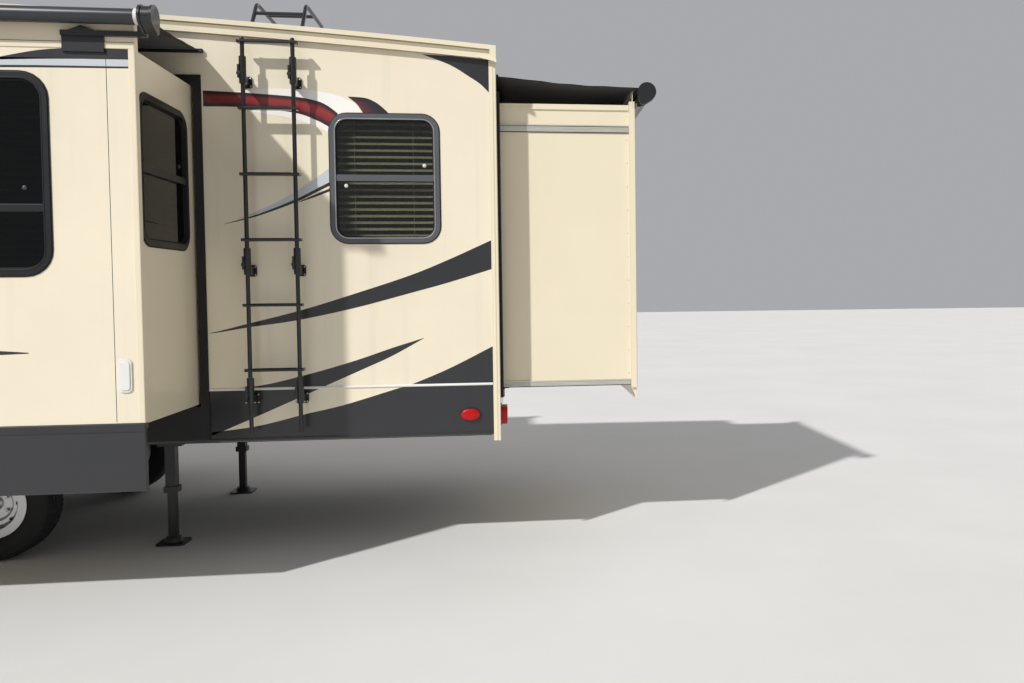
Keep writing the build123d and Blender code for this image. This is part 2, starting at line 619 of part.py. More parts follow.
with BuildPart() as springs:
    for side in (1, -1):
        y = side * RAIL_Y
        for station in AXLE_STATIONS:
            x = at(station)
            for count in range(LEAVES):
                share = 1 - LEAF_STEP * count
                half = SPRING_LENGTH / 2 * share
                low = LEAVES_TOP - (count + 1) * LEAF
                rise = LEAF_SAG * share**2
                with BuildSketch(side_plane(y + LEAF_WIDTH / 2)):
                    with BuildLine():
                        upper = ThreePointArc((x - half, low + LEAF + rise), (x, low + LEAF),
                                              (x + half, low + LEAF + rise))
                        lower = ThreePointArc((x - half, low + rise), (x, low),
                                              (x + half, low + rise))
                        Line(upper @ 0, lower @ 0)
                        Line(upper @ 1, lower @ 1)
                    make_face()
                    if count == 0:
                        with Locations((x - half, EYE_Z), (x + half, EYE_Z)):
                            Circle(EYE_RADIUS)
                            Circle(EYE_BORE, mode=Mode.SUBTRACT)
                extrude(amount=LEAF_WIDTH)
            for low, high in ((SEAT_Z, SEAT_Z + SEAT), (LEAVES_TOP, LEAVES_TOP + TIE_PLATE)):
                block((x - SEAT_HALF[0], x + SEAT_HALF[0]), (y - SEAT_HALF[1], y + SEAT_HALF[1]),
                      (low, high))
            bend = AXLE_RADIUS + U_BOLT + PIN_GAP
            top = LEAVES_TOP + TIE_PLATE + U_BOLT_PAST
            for flank in (1, -1):
                bolt_plane = side_plane(y + flank * (LEAF_WIDTH / 2 + U_BOLT + PIN_GAP))
                with BuildLine(bolt_plane) as bolt_line:
                    Line((x - bend, top), (x - bend, TYRE_RADIUS))
                    ThreePointArc((x - bend, TYRE_RADIUS), (x, TYRE_RADIUS - bend),
                                  (x + bend, TYRE_RADIUS))
                    Line((x + bend, TYRE_RADIUS), (x + bend, top))
                bolt_path = bolt_line.wires()[0]
                with BuildSketch(Plane(origin=bolt_path @ 0, z_dir=bolt_path % 0)) as bolt:
                    Circle(U_BOLT)
                sweep(bolt.sketch, path=bolt_path)
save(springs, "leaf_springs")

# What carries the springs: hangers under the rails, and between the two axles an equalizer
# that rocks on the middle hanger. Shackles hang from the equalizer and from the rear hanger.
LINK = 6.0  # thickness of a shackle's plates
LINK_RADIUS = 17.0
LINK_LEAN = 15.0  # how far a shackle's upper pin lies aside of its spring's eye
HANGER = 8.0
HANGER_ROOT = 60.0  # half length of a hanger at the rail
HANGER_RADIUS = 26.0
EQUALIZER_RISE = 26.0  # how far its middle pin lies above its end pins
EQUALIZER_RADIUS = 26.0
LINK_IN = LEAF_WIDTH / 2 + PIN_GAP
HANGER_IN = LINK_IN + LINK + PIN_GAP
HANGER_OUT = HANGER_IN + HANGER
MIDDLE_STATION = sum(AXLE_STATIONS) / 2
EYES = (AXLE_STATIONS[0] - SPRING_LENGTH / 2, AXLE_STATIONS[0] + SPRING_LENGTH / 2,
        AXLE_STATIONS[1] - SPRING_LENGTH / 2, AXLE_STATIONS[1] + SPRING_LENGTH / 2)
LINK_Z = EYE_Z + LINK_DROP
# Hangers: x and height of the pin
HANGERS = (
    (at(EYES[0] - LINK_LEAN), LINK_Z),
    (at(MIDDLE_STATION), LINK_Z + EQUALIZER_RISE),
    (at(EYES[3]), EYE_Z),
)
# Shackles: x of the upper pin, x of the eye, whether the upper pin is the shackle's own
SHACKLES = (
    (at(EYES[0] - LINK_LEAN), at(EYES[0]), False),
    (at(EYES[1] + LINK_LEAN), at(EYES[1]), True),
    (at(EYES[2] - LINK_LEAN), at(EYES[2]), True),
)


def plates(y, inner, outer, outline):
    """Two like plates beside a spring; outline draws one of them in a sketch."""
    for start in (y + outer, y - inner):
        with BuildSketch(side_plane(start)) as plate:
            outline()
        extrude(plate.sketch, amount=outer - inner)


def hanger_outline(x, z):
    with Locations((x, RAIL_LOW - SEAM - HANGER / 2)):
        Rectangle(2 * HANGER_ROOT, HANGER)
    with Locations((x, z)):
        Circle(HANGER_RADIUS)
    make_hull()


def link_outline(high_x, low_x, own_pin):
    with Locations((high_x, LINK_Z), (low_x, EYE_Z)):
        Circle(LINK_RADIUS)
    make_hull()
    if not own_pin:
        with Locations((high_x, LINK_Z)):
            Circle(EYE_BORE, mode=Mode.SUBTRACT)


with BuildPart() as hangers:
    for side in (1, -1):
        y = side * RAIL_Y
        for x, z in HANGERS:
            plates(y, HANGER_IN, HANGER_OUT, lambda: hanger_outline(x, z))
            block((x - HANGER_ROOT, x + HANGER_ROOT), (y - HANGER_OUT, y + HANGER_OUT),
                  (RAIL_LOW - SEAM - HANGER, RAIL_LOW - SEAM))
            pin(x, y, z, HANGER_OUT)
        for high_x, low_x, own_pin in SHACKLES:
            plates(y, LINK_IN, LINK_IN + LINK, lambda: link_outline(high_x, low_x, own_pin))
            pin(low_x, y, EYE_Z, LINK_IN + LINK)
            if own_pin:
                pin(high_x, y, LINK_Z, LINK_IN + LINK)
        middle_x, middle_z = HANGERS[1]
        ends = [(high_x, LINK_Z) for high_x, _, own_pin in SHACKLES if own_pin]
        with BuildSketch(side_plane(y + LEAF_WIDTH / 2)):
            with Locations((middle_x, middle_z)):
                Circle(EQUALIZER_RADIUS)
            with Locations(*ends):
                Circle(LINK_RADIUS)
            make_hull()
            with Locations((middle_x, middle_z), *ends):
                Circle(EYE_BORE, mode=Mode.SUBTRACT)
        extrude(amount=LEAF_WIDTH)
save(hangers, "spring_hangers")


# Wheels: steel rims made in one piece with their hubs and drums, and tyres. The disc is
# pressed into a crown round the hub, with hand holes where it turns back to the barrel.
DRUM_BACK = BACKING_Y + 5.0
DRUM_WALL = 10.0
DRUM_FACE = 8.0
HUB_RADIUS = 45.0
HUB_CAP = 24.0  # how far the grease cap stands out of the spindle's end
HUB_CAP_Y = SPINDLE_END + HUB_CAP
CAP_TOP_RADIUS = 34.0
SPINDLE_GAP = 2.0
DISC = 10.0
DISC_OUT = 14.0
DISC_Y = WHEEL_Y + DISC_OUT
DISC_FLAT = 98.0  # radius of the flat that the bolts press on
DISC_CROWN = 16.0  # how far the crown stands out
CROWN_RADII = (114.0, 136.0)
HAND_HOLES = 8
HAND_HOLE = 15.0
HAND_RADIUS = 141.0
RIM_SEAT = 30.0  # how far the tyre's seat lies inside the rim's radius
SEAT_RADIUS = RIM_RADIUS - RIM_SEAT
RIM_LIP = 14.0
BARREL = 6.0
TYRE_SEAT = 0.3
TREAD_HALF = 95.0
TREAD_FLAT = 71.0
TREAD_DROP = 8.0  # how much lower the tread's edges are than its middle
SHOULDER = 32.0
BULGE_RADIUS = (RIM_RADIUS + TYRE_RADIUS - SHOULDER) / 2 + 8.0


def across(x, side):
    """A plane through an axle's line: local x outwards from the middle, local y upwards."""
    return Plane(origin=(x, 0, TYRE_RADIUS), x_dir=(0, side, 0), z_dir=(side, 0, 0))


def ring(low, high, inner, outer):
    """One turned step of a wheel, between two distances outwards and two radii."""
    with Locations(((low + high) / 2, (inner + outer) / 2)):
        Rectangle(high - low, outer - inner)


wheels = [
    (f"{which}_{end}", at(station), side)
    for which, side in (("left", 1), ("right", -1))
    for end, station in (("rear", REAR_AXLE_STATION), ("front", REAR_AXLE_STATION + AXLE_SPACING))
]
RIM_OUT = WHEEL_Y + RIM_WIDTH / 2
RIM_BACK = WHEEL_Y - RIM_WIDTH / 2
for label, x, side in wheels:
    axle_line = Axis((x, 0, TYRE_RADIUS), (0, 1, 0))
    with BuildPart() as rim:
        with BuildSketch(across(x, side)):
            bore = SPINDLE_RADIUS + HUB_GAP
            ring(DISC_Y - DRUM_FACE, DISC_Y, bore, DRUM_RADIUS)
            ring(DRUM_BACK, DISC_Y, DRUM_RADIUS - DRUM_WALL, DRUM_RADIUS)
            ring(DRUM_BACK, SPINDLE_END + SPINDLE_GAP, bore, HUB_RADIUS)
            with BuildLine():
                Polyline((SPINDLE_END + SPINDLE_GAP, 0), (SPINDLE_END + SPINDLE_GAP, HUB_RADIUS),
                         (DISC_Y + 2 * DISC, HUB_RADIUS), (HUB_CAP_Y, CAP_TOP_RADIUS), (HUB_CAP_Y, 0),
                         close=True)
            make_face()
            with BuildLine():
                crown = ((DISC_Y, HUB_RADIUS - HUB_GAP), (DISC_Y, DISC_FLAT),
                         (DISC_Y + DISC_CROWN, CROWN_RADII[0]), (DISC_Y + DISC_CROWN, CROWN_RADII[1]),
                         (DISC_Y - DISC, SEAT_RADIUS - BARREL / 2))
                Polyline(*crown, *((out + DISC, radius) for out, radius in reversed(crown)), close=True)
            make_face()
            ring(RIM_BACK, RIM_OUT, SEAT_RADIUS - BARREL, SEAT_RADIUS)
            ring(RIM_OUT - BARREL, RIM_OUT, SEAT_RADIUS - BARREL, RIM_RADIUS + RIM_LIP)
            ring(RIM_BACK, RIM_BACK + BARREL, SEAT_RADIUS - BARREL, RIM_RADIUS + RIM_LIP)
        revolve(axis=axle_line)
        with BuildSketch(Plane(origin=(x, side * (DISC_Y - DISC), TYRE_RADIUS), z_dir=(0, side, 0))):
            with PolarLocations(HAND_RADIUS, HAND_HOLES):
                Circle(HAND_HOLE)
        extrude(amount=4 * DISC, mode=Mode.SUBTRACT)
    save(rim, f"rim_{label}")
    with BuildPart() as tyre:
        with BuildSketch(across(x, side)):
            with BuildLine():
                low = RIM_BACK + BARREL + TYRE_SEAT
                high = RIM_OUT - BARREL - TYRE_SEAT
                bead = SEAT_RADIUS + TYRE_SEAT
                bulge = TYRE_WIDTH / 2
                edge = TYRE_RADIUS - TREAD_DROP
                Polyline((high, bead), (low, bead), (low, RIM_RADIUS + RIM_LIP))
                ThreePointArc((low, RIM_RADIUS + RIM_LIP), (WHEEL_Y - bulge, BULGE_RADIUS),
                              (WHEEL_Y - TREAD_HALF, edge))
                Polyline((WHEEL_Y - TREAD_HALF, edge), (WHEEL_Y - TREAD_FLAT, TYRE_RADIUS),
                         (WHEEL_Y + TREAD_FLAT, TYRE_RADIUS), (WHEEL_Y + TREAD_HALF, edge))
                ThreePointArc((WHEEL_Y + TREAD_HALF, edge), (WHEEL_Y + bulge, BULGE_RADIUS),
                              (high, RIM_RADIUS + RIM_LIP))
                Line((high, RIM_RADIUS + RIM_LIP), (high, bead))
            make_face()
        revolve(axis=axle_line)
    save(tyre, f"tyre_{label}")


def section_plane(wall, x):
    """A plane across a room at local x: its x axis points outwards; extruding lowers x."""
    return Plane(origin=wall.origin + wall.x_dir * x, x_dir=wall.z_dir, z_dir=-wall.x_dir)


def end_plane(station):
    """The plane of a side room's rear end, facing backwards."""
    return Plane(origin=(at(station), 0, 0), x_dir=(0, -1, 0), z_dir=(-1, 0, 0))


def room_windows(name, wall, reach):
    """Plane, place and size of every window of one room."""
    found = []
    for room, x, z, width, height, radius in FACE_WINDOWS:
        if room == name:
            found.append((wall.offset(reach), x, z, width, height, radius))
    for room, station, side, out, z, width, height, radius in END_WINDOWS:
        if room == name:
            found.append((end_plane(station), -side * (HALF + out), z, width, height, radius))
    return found


def room_block(wall, x, z, out):
    """A block given in a wall's own directions."""
    with BuildSketch(wall.offset(out[0])) as base:
        with Locations((sum(x) / 2, sum(z) / 2)):
            Rectangle(x[1] - x[0], z[1] - z[0])
    extrude(base.sketch, amount=out[1] - out[0])


# Slide-out rooms: an open box behind a face with its windows, and the topper over it
ARM_DROP = 75.0  # how far the topper's arm lies below its roller
ARM = 26.0
ARM_BASE = (120.0, 320.0)  # where its foot stands, from the end of the face inwards
ARM_FOOT = 30.0  # how far that foot reaches below the room's top
EAR = 12.0
FACE_EDGE = 4.0  # chamfer round a face
TIP_RADIUS = 16.0  # of the narrow end of a roller's drop-shaped bracket
TIP = (34.0, 14.0)  # middle of that end: out of the face, and above the arm's middle
CAP_RIM = 6.0


def drop(axle, tip, grow=0.0):
    """A drop-shaped outline round a roller's axle, narrowing to a tip below it."""
    with Locations(axle):
        Circle(CAP_RADIUS - CAP_RIM + grow)
    with Locations(tip):
        Circle(TIP_RADIUS + grow)
    make_hull()


for name, wall, along, z, reach, roller_z, cloth_z, skirt in ROOMS:
    windows = room_windows(name, wall, reach)
    low, high = along
    with BuildPart() as shell:
        with BuildSketch(wall.offset(-ROOM_INBOARD)):
            with Locations((sum(along) / 2, sum(z) / 2)):
                Rectangle(high - low, z[1] - z[0])
                Rectangle(high - low - 2 * ROOM_SHELL, z[1] - z[0] - 2 * ROOM_SHELL,
                          mode=Mode.SUBTRACT)
        extrude(amount=ROOM_INBOARD + reach - FACE - SEAM)
        for window in windows:
            window_cut(*window, ROOM_SHELL)
    save(shell, f"{name}_shell")

    with BuildPart() as face:
        room_block(wall, (low - FACE_LAP, high + FACE_LAP), (z[0] - FACE_LAP, z[1] + FACE_LAP),
                   (reach - FACE, reach))
        for window in windows:
            window_cut(*window, FACE)
        if skirt:
            room_block(wall, (low - FACE_LAP, high + FACE_LAP),
                       (z[0] - FACE_LAP - skirt, z[0] - FACE_LAP), (reach - SKIRT, reach))
        front = face.faces().sort_by(Axis((0, 0, 0), wall.z_dir))[-1]
        chamfer(front.outer_wire().edges(), FACE_EDGE)
    save(face, f"{name}_face")

    with BuildPart() as frames:
        for window in windows:
            window_frame(*window)
    save(frames, f"{name}_window_frames")

    with BuildPart() as panes:
        for window in windows:
            window_pane(*window)
    save(panes, f"{name}_panes")

    with BuildPart() as topper:
        start, end = low - ROLLER_PAST, high + ROLLER_PAST
        axle = (reach + ROLLER_OUT, roller_z)
        with BuildSketch(section_plane(wall, end)):
            with Locations(axle):
                Circle(ROLLER_RADIUS)
        extrude(amount=end - start)
        arm_z = roller_z - ARM_DROP
        tip = (reach + TIP[0], arm_z + TIP[1])
        for x in (end, start + CAP_LENGTH):
            with BuildSketch(section_plane(wall, x - EAR)):
                drop(axle, tip)
            extrude(amount=CAP_LENGTH - 2 * EAR)
            for rim_x in (x, x - CAP_LENGTH + EAR):
                with BuildSketch(section_plane(wall, rim_x)):
                    drop(axle, tip, CAP_RIM)
                extrude(amount=EAR)
        for edge, inward in ((low, 1), (high, -1)):
            foot = sorted(edge + inward * step for step in ARM_BASE)
            room_block(wall, foot, (z[1] - ARM_FOOT, arm_z + ARM / 2), (reach + SEAM, reach + EAR))
            arm_end = edge - inward * (ROLLER_PAST - CAP_LENGTH)
            room_block(wall, sorted((arm_end - inward * EAR, edge + inward * ARM_BASE[1])),
                       (arm_z - ARM / 2, arm_z + ARM / 2), (reach + SEAM, reach + SEAM + ARM))
            with BuildSketch(wall.offset(reach + SEAM)):
                with BuildLine():
                    Polyline((foot[0], arm_z), (foot[1], arm_z), (sum(foot) / 2, arm_z + ARM + EAR),
                             close=True)
                make_face()
            extrude(amount=ARM)
    save(topper, f"{name}_topper")

    with BuildPart() as cloth:
        with BuildSketch(section_plane(wall, end - CAP_LENGTH - SEAM)):
            with BuildLine():
                at_roller = roller_z + ROLLER_RADIUS + CLOTH_GAP
                Polyline((RAIL_BEAD + SEAM, cloth_z), (reach + ROLLER_OUT, at_roller),
                         (reach + ROLLER_OUT, at_roller + CLOTH), (RAIL_BEAD + SEAM, cloth_z + CLOTH),
                         close=True)
            make_face()
        extrude(amount=end - start - 2 * CAP_LENGTH - 2 * SEAM)
    save(cloth, f"{name}_cloth")

# Seals round the openings, and the rails that hold the toppers' cloth on the walls
SEAL_FOOT = 15.0  # how far the side rooms' seals start above the walls' lower edge
with BuildPart() as seals:
    for name, wall, along, z, reach, roller_z, cloth_z, skirt in ROOMS:
        low_edge = BELLY_Z + SEAL_FOOT if skirt else z[0] - SEAL_WIDTH
        with BuildSketch(wall.offset(SEAM)) as seal:
            with Locations((sum(along) / 2, (low_edge + z[1] + SEAL_WIDTH) / 2)):
                Rectangle(along[1] - along[0] + 2 * SEAL_WIDTH, z[1] + SEAL_WIDTH - low_edge)
            with Locations((sum(along) / 2, sum(z) / 2)):
                Rectangle(along[1] - along[0] + 2 * SEAL_GAP, z[1] - z[0] + 2 * SEAL_GAP,
                          mode=Mode.SUBTRACT)
        extrude(seal.sketch, amount=SEAL - SEAM)
        room_block(wall, (along[0] - ROLLER_PAST + CAP_LENGTH, along[1] + ROLLER_PAST - CAP_LENGTH),
                   (cloth_z - RAIL_BEAD / 2, cloth_z + RAIL_BEAD / 2), (SEAM, RAIL_BEAD))
save(seals, "room_seals")

# Windows of the body's own walls
with BuildPart() as window_frames:
    for window in WALL_WINDOWS:
        window_frame(*window)
save(window_frames, "window_frames")
with BuildPart() as window_panes:
    for window in WALL_WINDOWS:
        window_pane(*window)
save(window_panes, "window_panes")

# Doors with their hinges. Columns: name, side, stations, edges above the body's lower edge,
# where the hinge is
BARREL_LENGTH = 60.0
STRAP = 4.0
STRAP_LENGTH = 45.0
DOOR_WINDOW = (420.0, 700.0, 90.0)
DOOR_WINDOW_Z = BELLY_Z + ENTRY[3] - 590.0
DOORS = (
    ("entry_door", -1, ENTRY, "front", (0.12, 0.5, 0.88)),
    ("left_hatch", 1, LEFT_HATCH, "top", (0.2, 0.8)),
    ("right_hatch", -1, RIGHT_HATCH, "top", (0.25, 0.75)),
)


def barrel(side, hinge, low, high, on_door):
    """One knuckle of a hinge with its strap, on the door or on the wall beside it."""
    line_y = side * (HALF + HINGE_OUT)
    reach = STRAP_LENGTH if on_door else -STRAP_LENGTH
    seat = 0.0 if on_door else SEAM
    if hinge[0] == "front":
        with BuildSketch(Plane.XY.offset(low)) as knuckle:
            with Locations((hinge[1], line_y)):
                Circle(HINGE_RADIUS)
        extrude(knuckle.sketch, amount=high - low)
        xs = sorted((hinge[1], hinge[1] - reach))
        ys = sorted((side * (HALF + seat), side * (HALF + STRAP)))
        block(xs, ys, (low, high))
        block((hinge[1] - STRAP / 2, hinge[1] + STRAP / 2), sorted((ys[0], line_y)), (low, high))
    else:
        with BuildSketch(cross_plane(low)) as knuckle:
            with Locations((line_y, hinge[1])):
                Circle(HINGE_RADIUS)
        extrude(knuckle.sketch, amount=high - low)
        zs = sorted((hinge[1], hinge[1] - reach))
        ys = sorted((side * (HALF + seat), side * (HALF + STRAP)))
        block((low, high), ys, zs)
        block((low, high), sorted((ys[0], line_y)), (hinge[1] - STRAP / 2, hinge[1] + STRAP / 2))


hinge_places = []
for name, side, (rear, front, bottom, top), where, shares in DOORS:
    wall = LEFT if side > 0 else RIGHT
    flip = -side
    inner = (rear + DOOR_GAP, front - DOOR_GAP, BELLY_Z + bottom + DOOR_GAP, BELLY_Z + top - DOOR_GAP)
    line = at(front) - DOOR_GAP / 2 if where == "front" else BELLY_Z + top - DOOR_GAP / 2
    with BuildPart() as door:
        with BuildSketch(wall.offset(-DOOR)):
            with Locations((flip * at((rear + front) / 2), BELLY_Z + (bottom + top) / 2)):
                RectangleRounded(inner[1] - inner[0], inner[3] - inner[2], DOOR_RADIUS - DOOR_GAP)
        extrude(amount=DOOR)
        if where == "front":
            window_cut(wall, flip * at((rear + front) / 2), DOOR_WINDOW_Z, *DOOR_WINDOW, DOOR)
        for share in shares:
            if where == "front":
                middle = BELLY_Z + bottom + share * (top - bottom)
            else:
                middle = at(rear + share * (front - rear))
            barrel(side, (where, line), middle - BARREL_LENGTH, middle - SEAM, True)
            hinge_places.append((side, (where, line), middle))
    save(door, name)
with BuildPart() as hinges:
    for side, hinge, middle in hinge_places:
        barrel(side, hinge, middle, middle + BARREL_LENGTH, False)
save(hinges, "door_hinges")

entry_window = (RIGHT, at((ENTRY[0] + ENTRY[1]) / 2), DOOR_WINDOW_Z, *DOOR_WINDOW)
with BuildPart() as entry_frame:
    window_frame(*entry_window)
save(entry_frame, "entry_window_frame")
with BuildPart() as entry_pane:
    window_pane(*entry_window)
save(entry_pane, "entry_pane")

# Front legs: square tubes that telescope, with a brace to the upper frame, a dished foot
# and a gear housing each, and the shaft that turns them together
LEG_TOP = UPPER_LOW - SEAM
SHAFT_Z = LEG_TOP - 160.0
SHAFT_RADIUS = 14.0
HOUSING = (130.0, 120.0, 110.0)
COLLAR = (10.0, 40.0)  # how far a leg's lower collar stands out, and its height
FOOT_EDGE = 30.0
BOSS_RADIUS = 58.0
BOSS = 30.0
BRACE = (40.0, 10.0)  # width and thickness
BRACE_FROM_Z = LEG_SPLIT_Z + 330.0
BRACE_REACH = 420.0


def telescope(x, y, outer, inner, split_z, top_z, foot_side):
    """A leg: outer tube with a collar at its foot, inner tube, boss and dished foot."""
    block((x - outer / 2, x + outer / 2), (y - outer / 2, y + outer / 2), (split_z, top_z))
    collar = outer / 2 + COLLAR[0]
    block((x - collar, x + collar), (y - collar, y + collar), (split_z, split_z + COLLAR[1]))
    block((x - inner / 2, x + inner / 2), (y - inner / 2, y + inner / 2), (FOOT / 2, split_z))
    with BuildSketch(Plane(origin=(x, y, 0))) as pad:
        RectangleRounded(foot_side, foot_side, FOOT_EDGE)
    extrude(pad.sketch, amount=FOOT)
    with BuildSketch(Plane(origin=(x, y, FOOT))) as boss:
        Circle(BOSS_RADIUS)
    extrude(boss.sketch, amount=BOSS, taper=DRAFT)


with BuildPart() as legs:
    for side in (1, -1):
        x, y = at(LEG_STATION), side * LEG_Y
        telescope(x, y, LEG_SIDE, LEG_INNER_SIDE, LEG_SPLIT_Z, LEG_TOP, FOOT_SIDE)
        block((x - HOUSING[0] / 2, x + HOUSING[0] / 2), (y - HOUSING[1] / 2, y + HOUSING[1] / 2),
              (SHAFT_Z - HOUSING[2] / 2, SHAFT_Z + HOUSING[2] / 2))
        with BuildSketch(side_plane(y + BRACE[1] / 2)):
            with BuildLine():
                Polyline((x, BRACE_FROM_Z), (x, BRACE_FROM_Z + 2 * BRACE[0]),
                         (x + BRACE_REACH - BRACE[0], LEG_TOP), (x + BRACE_REACH + BRACE[0], LEG_TOP),
                         close=True)
            make_face()
        extrude(amount=BRACE[1])
    with BuildSketch(Plane(origin=(at(LEG_STATION), -LEG_Y, SHAFT_Z), z_dir=(0, 1, 0))):
        Circle(SHAFT_RADIUS)
    extrude(amount=2 * LEG_Y)
save(legs, "front_legs")

# Rear stabilizing legs under the rails
JACK_SPLIT_Z = 340.0
JACK_FOOT = 180.0
JACK_HEAD = (150.0, 14.0)  # side and thickness of the plate under the rail
with BuildPart() as jacks:
    for side in (1, -1):
        x, y = at(JACK_STATION), side * RAIL_Y
        telescope(x, y, JACK_SIDE, JACK_INNER_SIDE, JACK_SPLIT_Z, RAIL_LOW - SEAM, JACK_FOOT)
        half = JACK_HEAD[0] / 2
        block((x - half, x + half), (y - RAIL_FLANGE / 2, y + RAIL_FLANGE / 2),
              (RAIL_LOW - SEAM - JACK_HEAD[1], RAIL_LOW - SEAM))
save(jacks, "rear_legs")

# Ladder on the road side: two rails on stands that hold them by long sleeves, with flat
# rungs whose ends pass through
LADDER_RAILS = (1199.0, 1489.0)
LADDER_TUBE = 12.5
LADDER_OUT = 92.0
LADDER_LOW = BELLY_Z + 64.0
RUNG_LOW = BELLY_Z + 446.0
RUNGS = 6
LADDER_TOP = ROOF_REAR_Z - 25.0  # height of the top rung, under the roof's edge at the rear
RUNG_STEP = (LADDER_TOP - RUNG_LOW) / (RUNGS - 1)
RUNG = (50.0, 18.0)  # depth and height of a flat rung
RUNG_EDGE = 8.0
RUNG_PAST = 28.0
RAIL_END = 16.0  # how far the rails end above the top rung
RAIL_CAP = (2.0, 12.0)  # how far its cap stands out, and its height
STAND_ROWS = (BELLY_Z + 265.0, BELLY_Z + 1049.0, ROOF_REAR_Z - 248.0)
PAD = (62.0, 70.0, 8.0)
PAD_EDGE = 14.0
STRUT = (32.0, 46.0)
CLAMP_RADIUS = 21.0
CLAMP = 160.0  # length of a sleeve
CLAMP_UP = 55.0  # from a stand's pad up to the middle of its sleeve
HOOP_POSTS = (1217.0, 1525.0)
HOOP_BAR = 11.5
# Handrail: a hoop that stands on the roof over the ladder
HOOP_Z = ROOF_REAR_Z + 347.0
HOOP_FOOT_IN = 220.0  # from the wall's surface in to its outer feet
HOOP_IN = 390.0  # to the outer bend
HOOP_FAR = 900.0  # to the inner bend
HOOP_FAR_FOOT = 960.0
HOOP_RADIUS = 70.0
HOOP_BAR_DROP = 75.0  # how far below the hoop's top its outer cross bar lies
HOOP_BAR_IN = 640.0  # from the wall's surface in to its inner cross bar
ROOF_PAD = (70.0, 8.0)
PAD_TILT_GAP = 1.5  # keeps a leaning tube's end off the roof
with BuildPart() as ladder:
    for station in LADDER_RAILS:
        x, y = at(station), HALF + LADDER_OUT
        with BuildSketch(Plane(origin=(x, y, LADDER_LOW))):
            Circle(LADDER_TUBE)
        extrude(amount=LADDER_TOP + RAIL_END - LADDER_LOW)
        with BuildSketch(Plane(origin=(x, y, LADDER_TOP + RAIL_END))):
            Circle(LADDER_TUBE + RAIL_CAP[0])
        extrude(amount=RAIL_CAP[1], taper=DRAFT)
        for z in STAND_ROWS:
            with BuildSketch(LEFT.offset(SEAM)):
                with Locations((-x, z)):
                    RectangleRounded(PAD[0], PAD[1], PAD_EDGE)
            extrude(amount=PAD[2])
            block((x - STRUT[0] / 2, x + STRUT[0] / 2), (HALF + PAD[2], y),
                  (z - STRUT[1] / 2, z + STRUT[1] / 2))
            with BuildSketch(Plane(origin=(x, y, z + CLAMP_UP - CLAMP / 2))):
                Circle(CLAMP_RADIUS)
            extrude(amount=CLAMP)
    for count in range(RUNGS):
        z = RUNG_LOW + count * RUNG_STEP
        with BuildSketch(cross_plane(at(LADDER_RAILS[0] - RUNG_PAST))):
            with Locations((HALF + LADDER_OUT, z)):
                RectangleRounded(RUNG[0], RUNG[1], RUNG_EDGE)
        extrude(amount=LADDER_RAILS[1] - LADDER_RAILS[0] + 2 * RUNG_PAST)
    for station in HOOP_POSTS:
        foot_z = roof_z(station) + SEAM
        start_z = foot_z + ROOF_PAD[1] + PAD_TILT_GAP
        with BuildLine(section_plane(LEFT, -at(station))) as post_path:
            FilletPolyline((-HOOP_FOOT_IN, start_z), (-HOOP_IN, HOOP_Z), (-HOOP_FAR, HOOP_Z),
                           (-HOOP_FAR_FOOT, start_z), radius=HOOP_RADIUS)
        with BuildSketch(Plane(origin=post_path.line @ 0, z_dir=post_path.line % 0)):
            Circle(LADDER_TUBE)
        sweep(path=post_path.line)
        slope = (CREST_STATION - station) / ROOF_RADIUS
        for inwards in (HOOP_FOOT_IN, HOOP_FAR_FOOT):
            with BuildSketch(Plane(origin=(at(station), HALF - inwards, foot_z), x_dir=(1, 0, slope),
                                   z_dir=(-slope, 0, 1))):
                RectangleRounded(ROOF_PAD[0], ROOF_PAD[0], PAD_EDGE)
            extrude(amount=ROOF_PAD[1])
    lean = (HOOP_IN - HOOP_FOOT_IN) / (HOOP_Z - roof_z(sum(HOOP_POSTS) / 2))
    for inwards, z in ((HOOP_IN - HOOP_BAR_DROP * lean, HOOP_Z - HOOP_BAR_DROP), (HOOP_BAR_IN, HOOP_Z)):
        with BuildSketch(Plane(origin=(at(HOOP_POSTS[0]), HALF - inwards, z), z_dir=(1, 0, 0))):
            Circle(HOOP_BAR)
        extrude(amount=HOOP_POSTS[1] - HOOP_POSTS[0])
save(ladder, "ladder")

# Lamps: side markers near the rear corners and tail lamps on the rear wall
MARKER = (182.0, BELLY_Z + 131.0, 59.0, 37.0, 18.0)  # station, height, radii, depth
TAIL = (HALF - 140.0, BELLY_Z + 109.0, 190.0, 110.0, 48.0)  # y, height, width, height, depth
TAIL_RADIUS = 30.0
with BuildPart() as lamps:
    for side, wall in ((1, LEFT), (-1, RIGHT)):
        with BuildSketch(wall.offset(SEAM)):
            with Locations((-side * at(MARKER[0]), MARKER[1])):
                Ellipse(MARKER[2], MARKER[3])
        extrude(amount=MARKER[4])
        with BuildSketch(REAR.offset(SEAM)):
            with Locations((side * TAIL[0], TAIL[1])):
                RectangleRounded(TAIL[2], TAIL[3], TAIL_RADIUS)
        extrude(amount=TAIL[4])
save(lamps, "lamps")

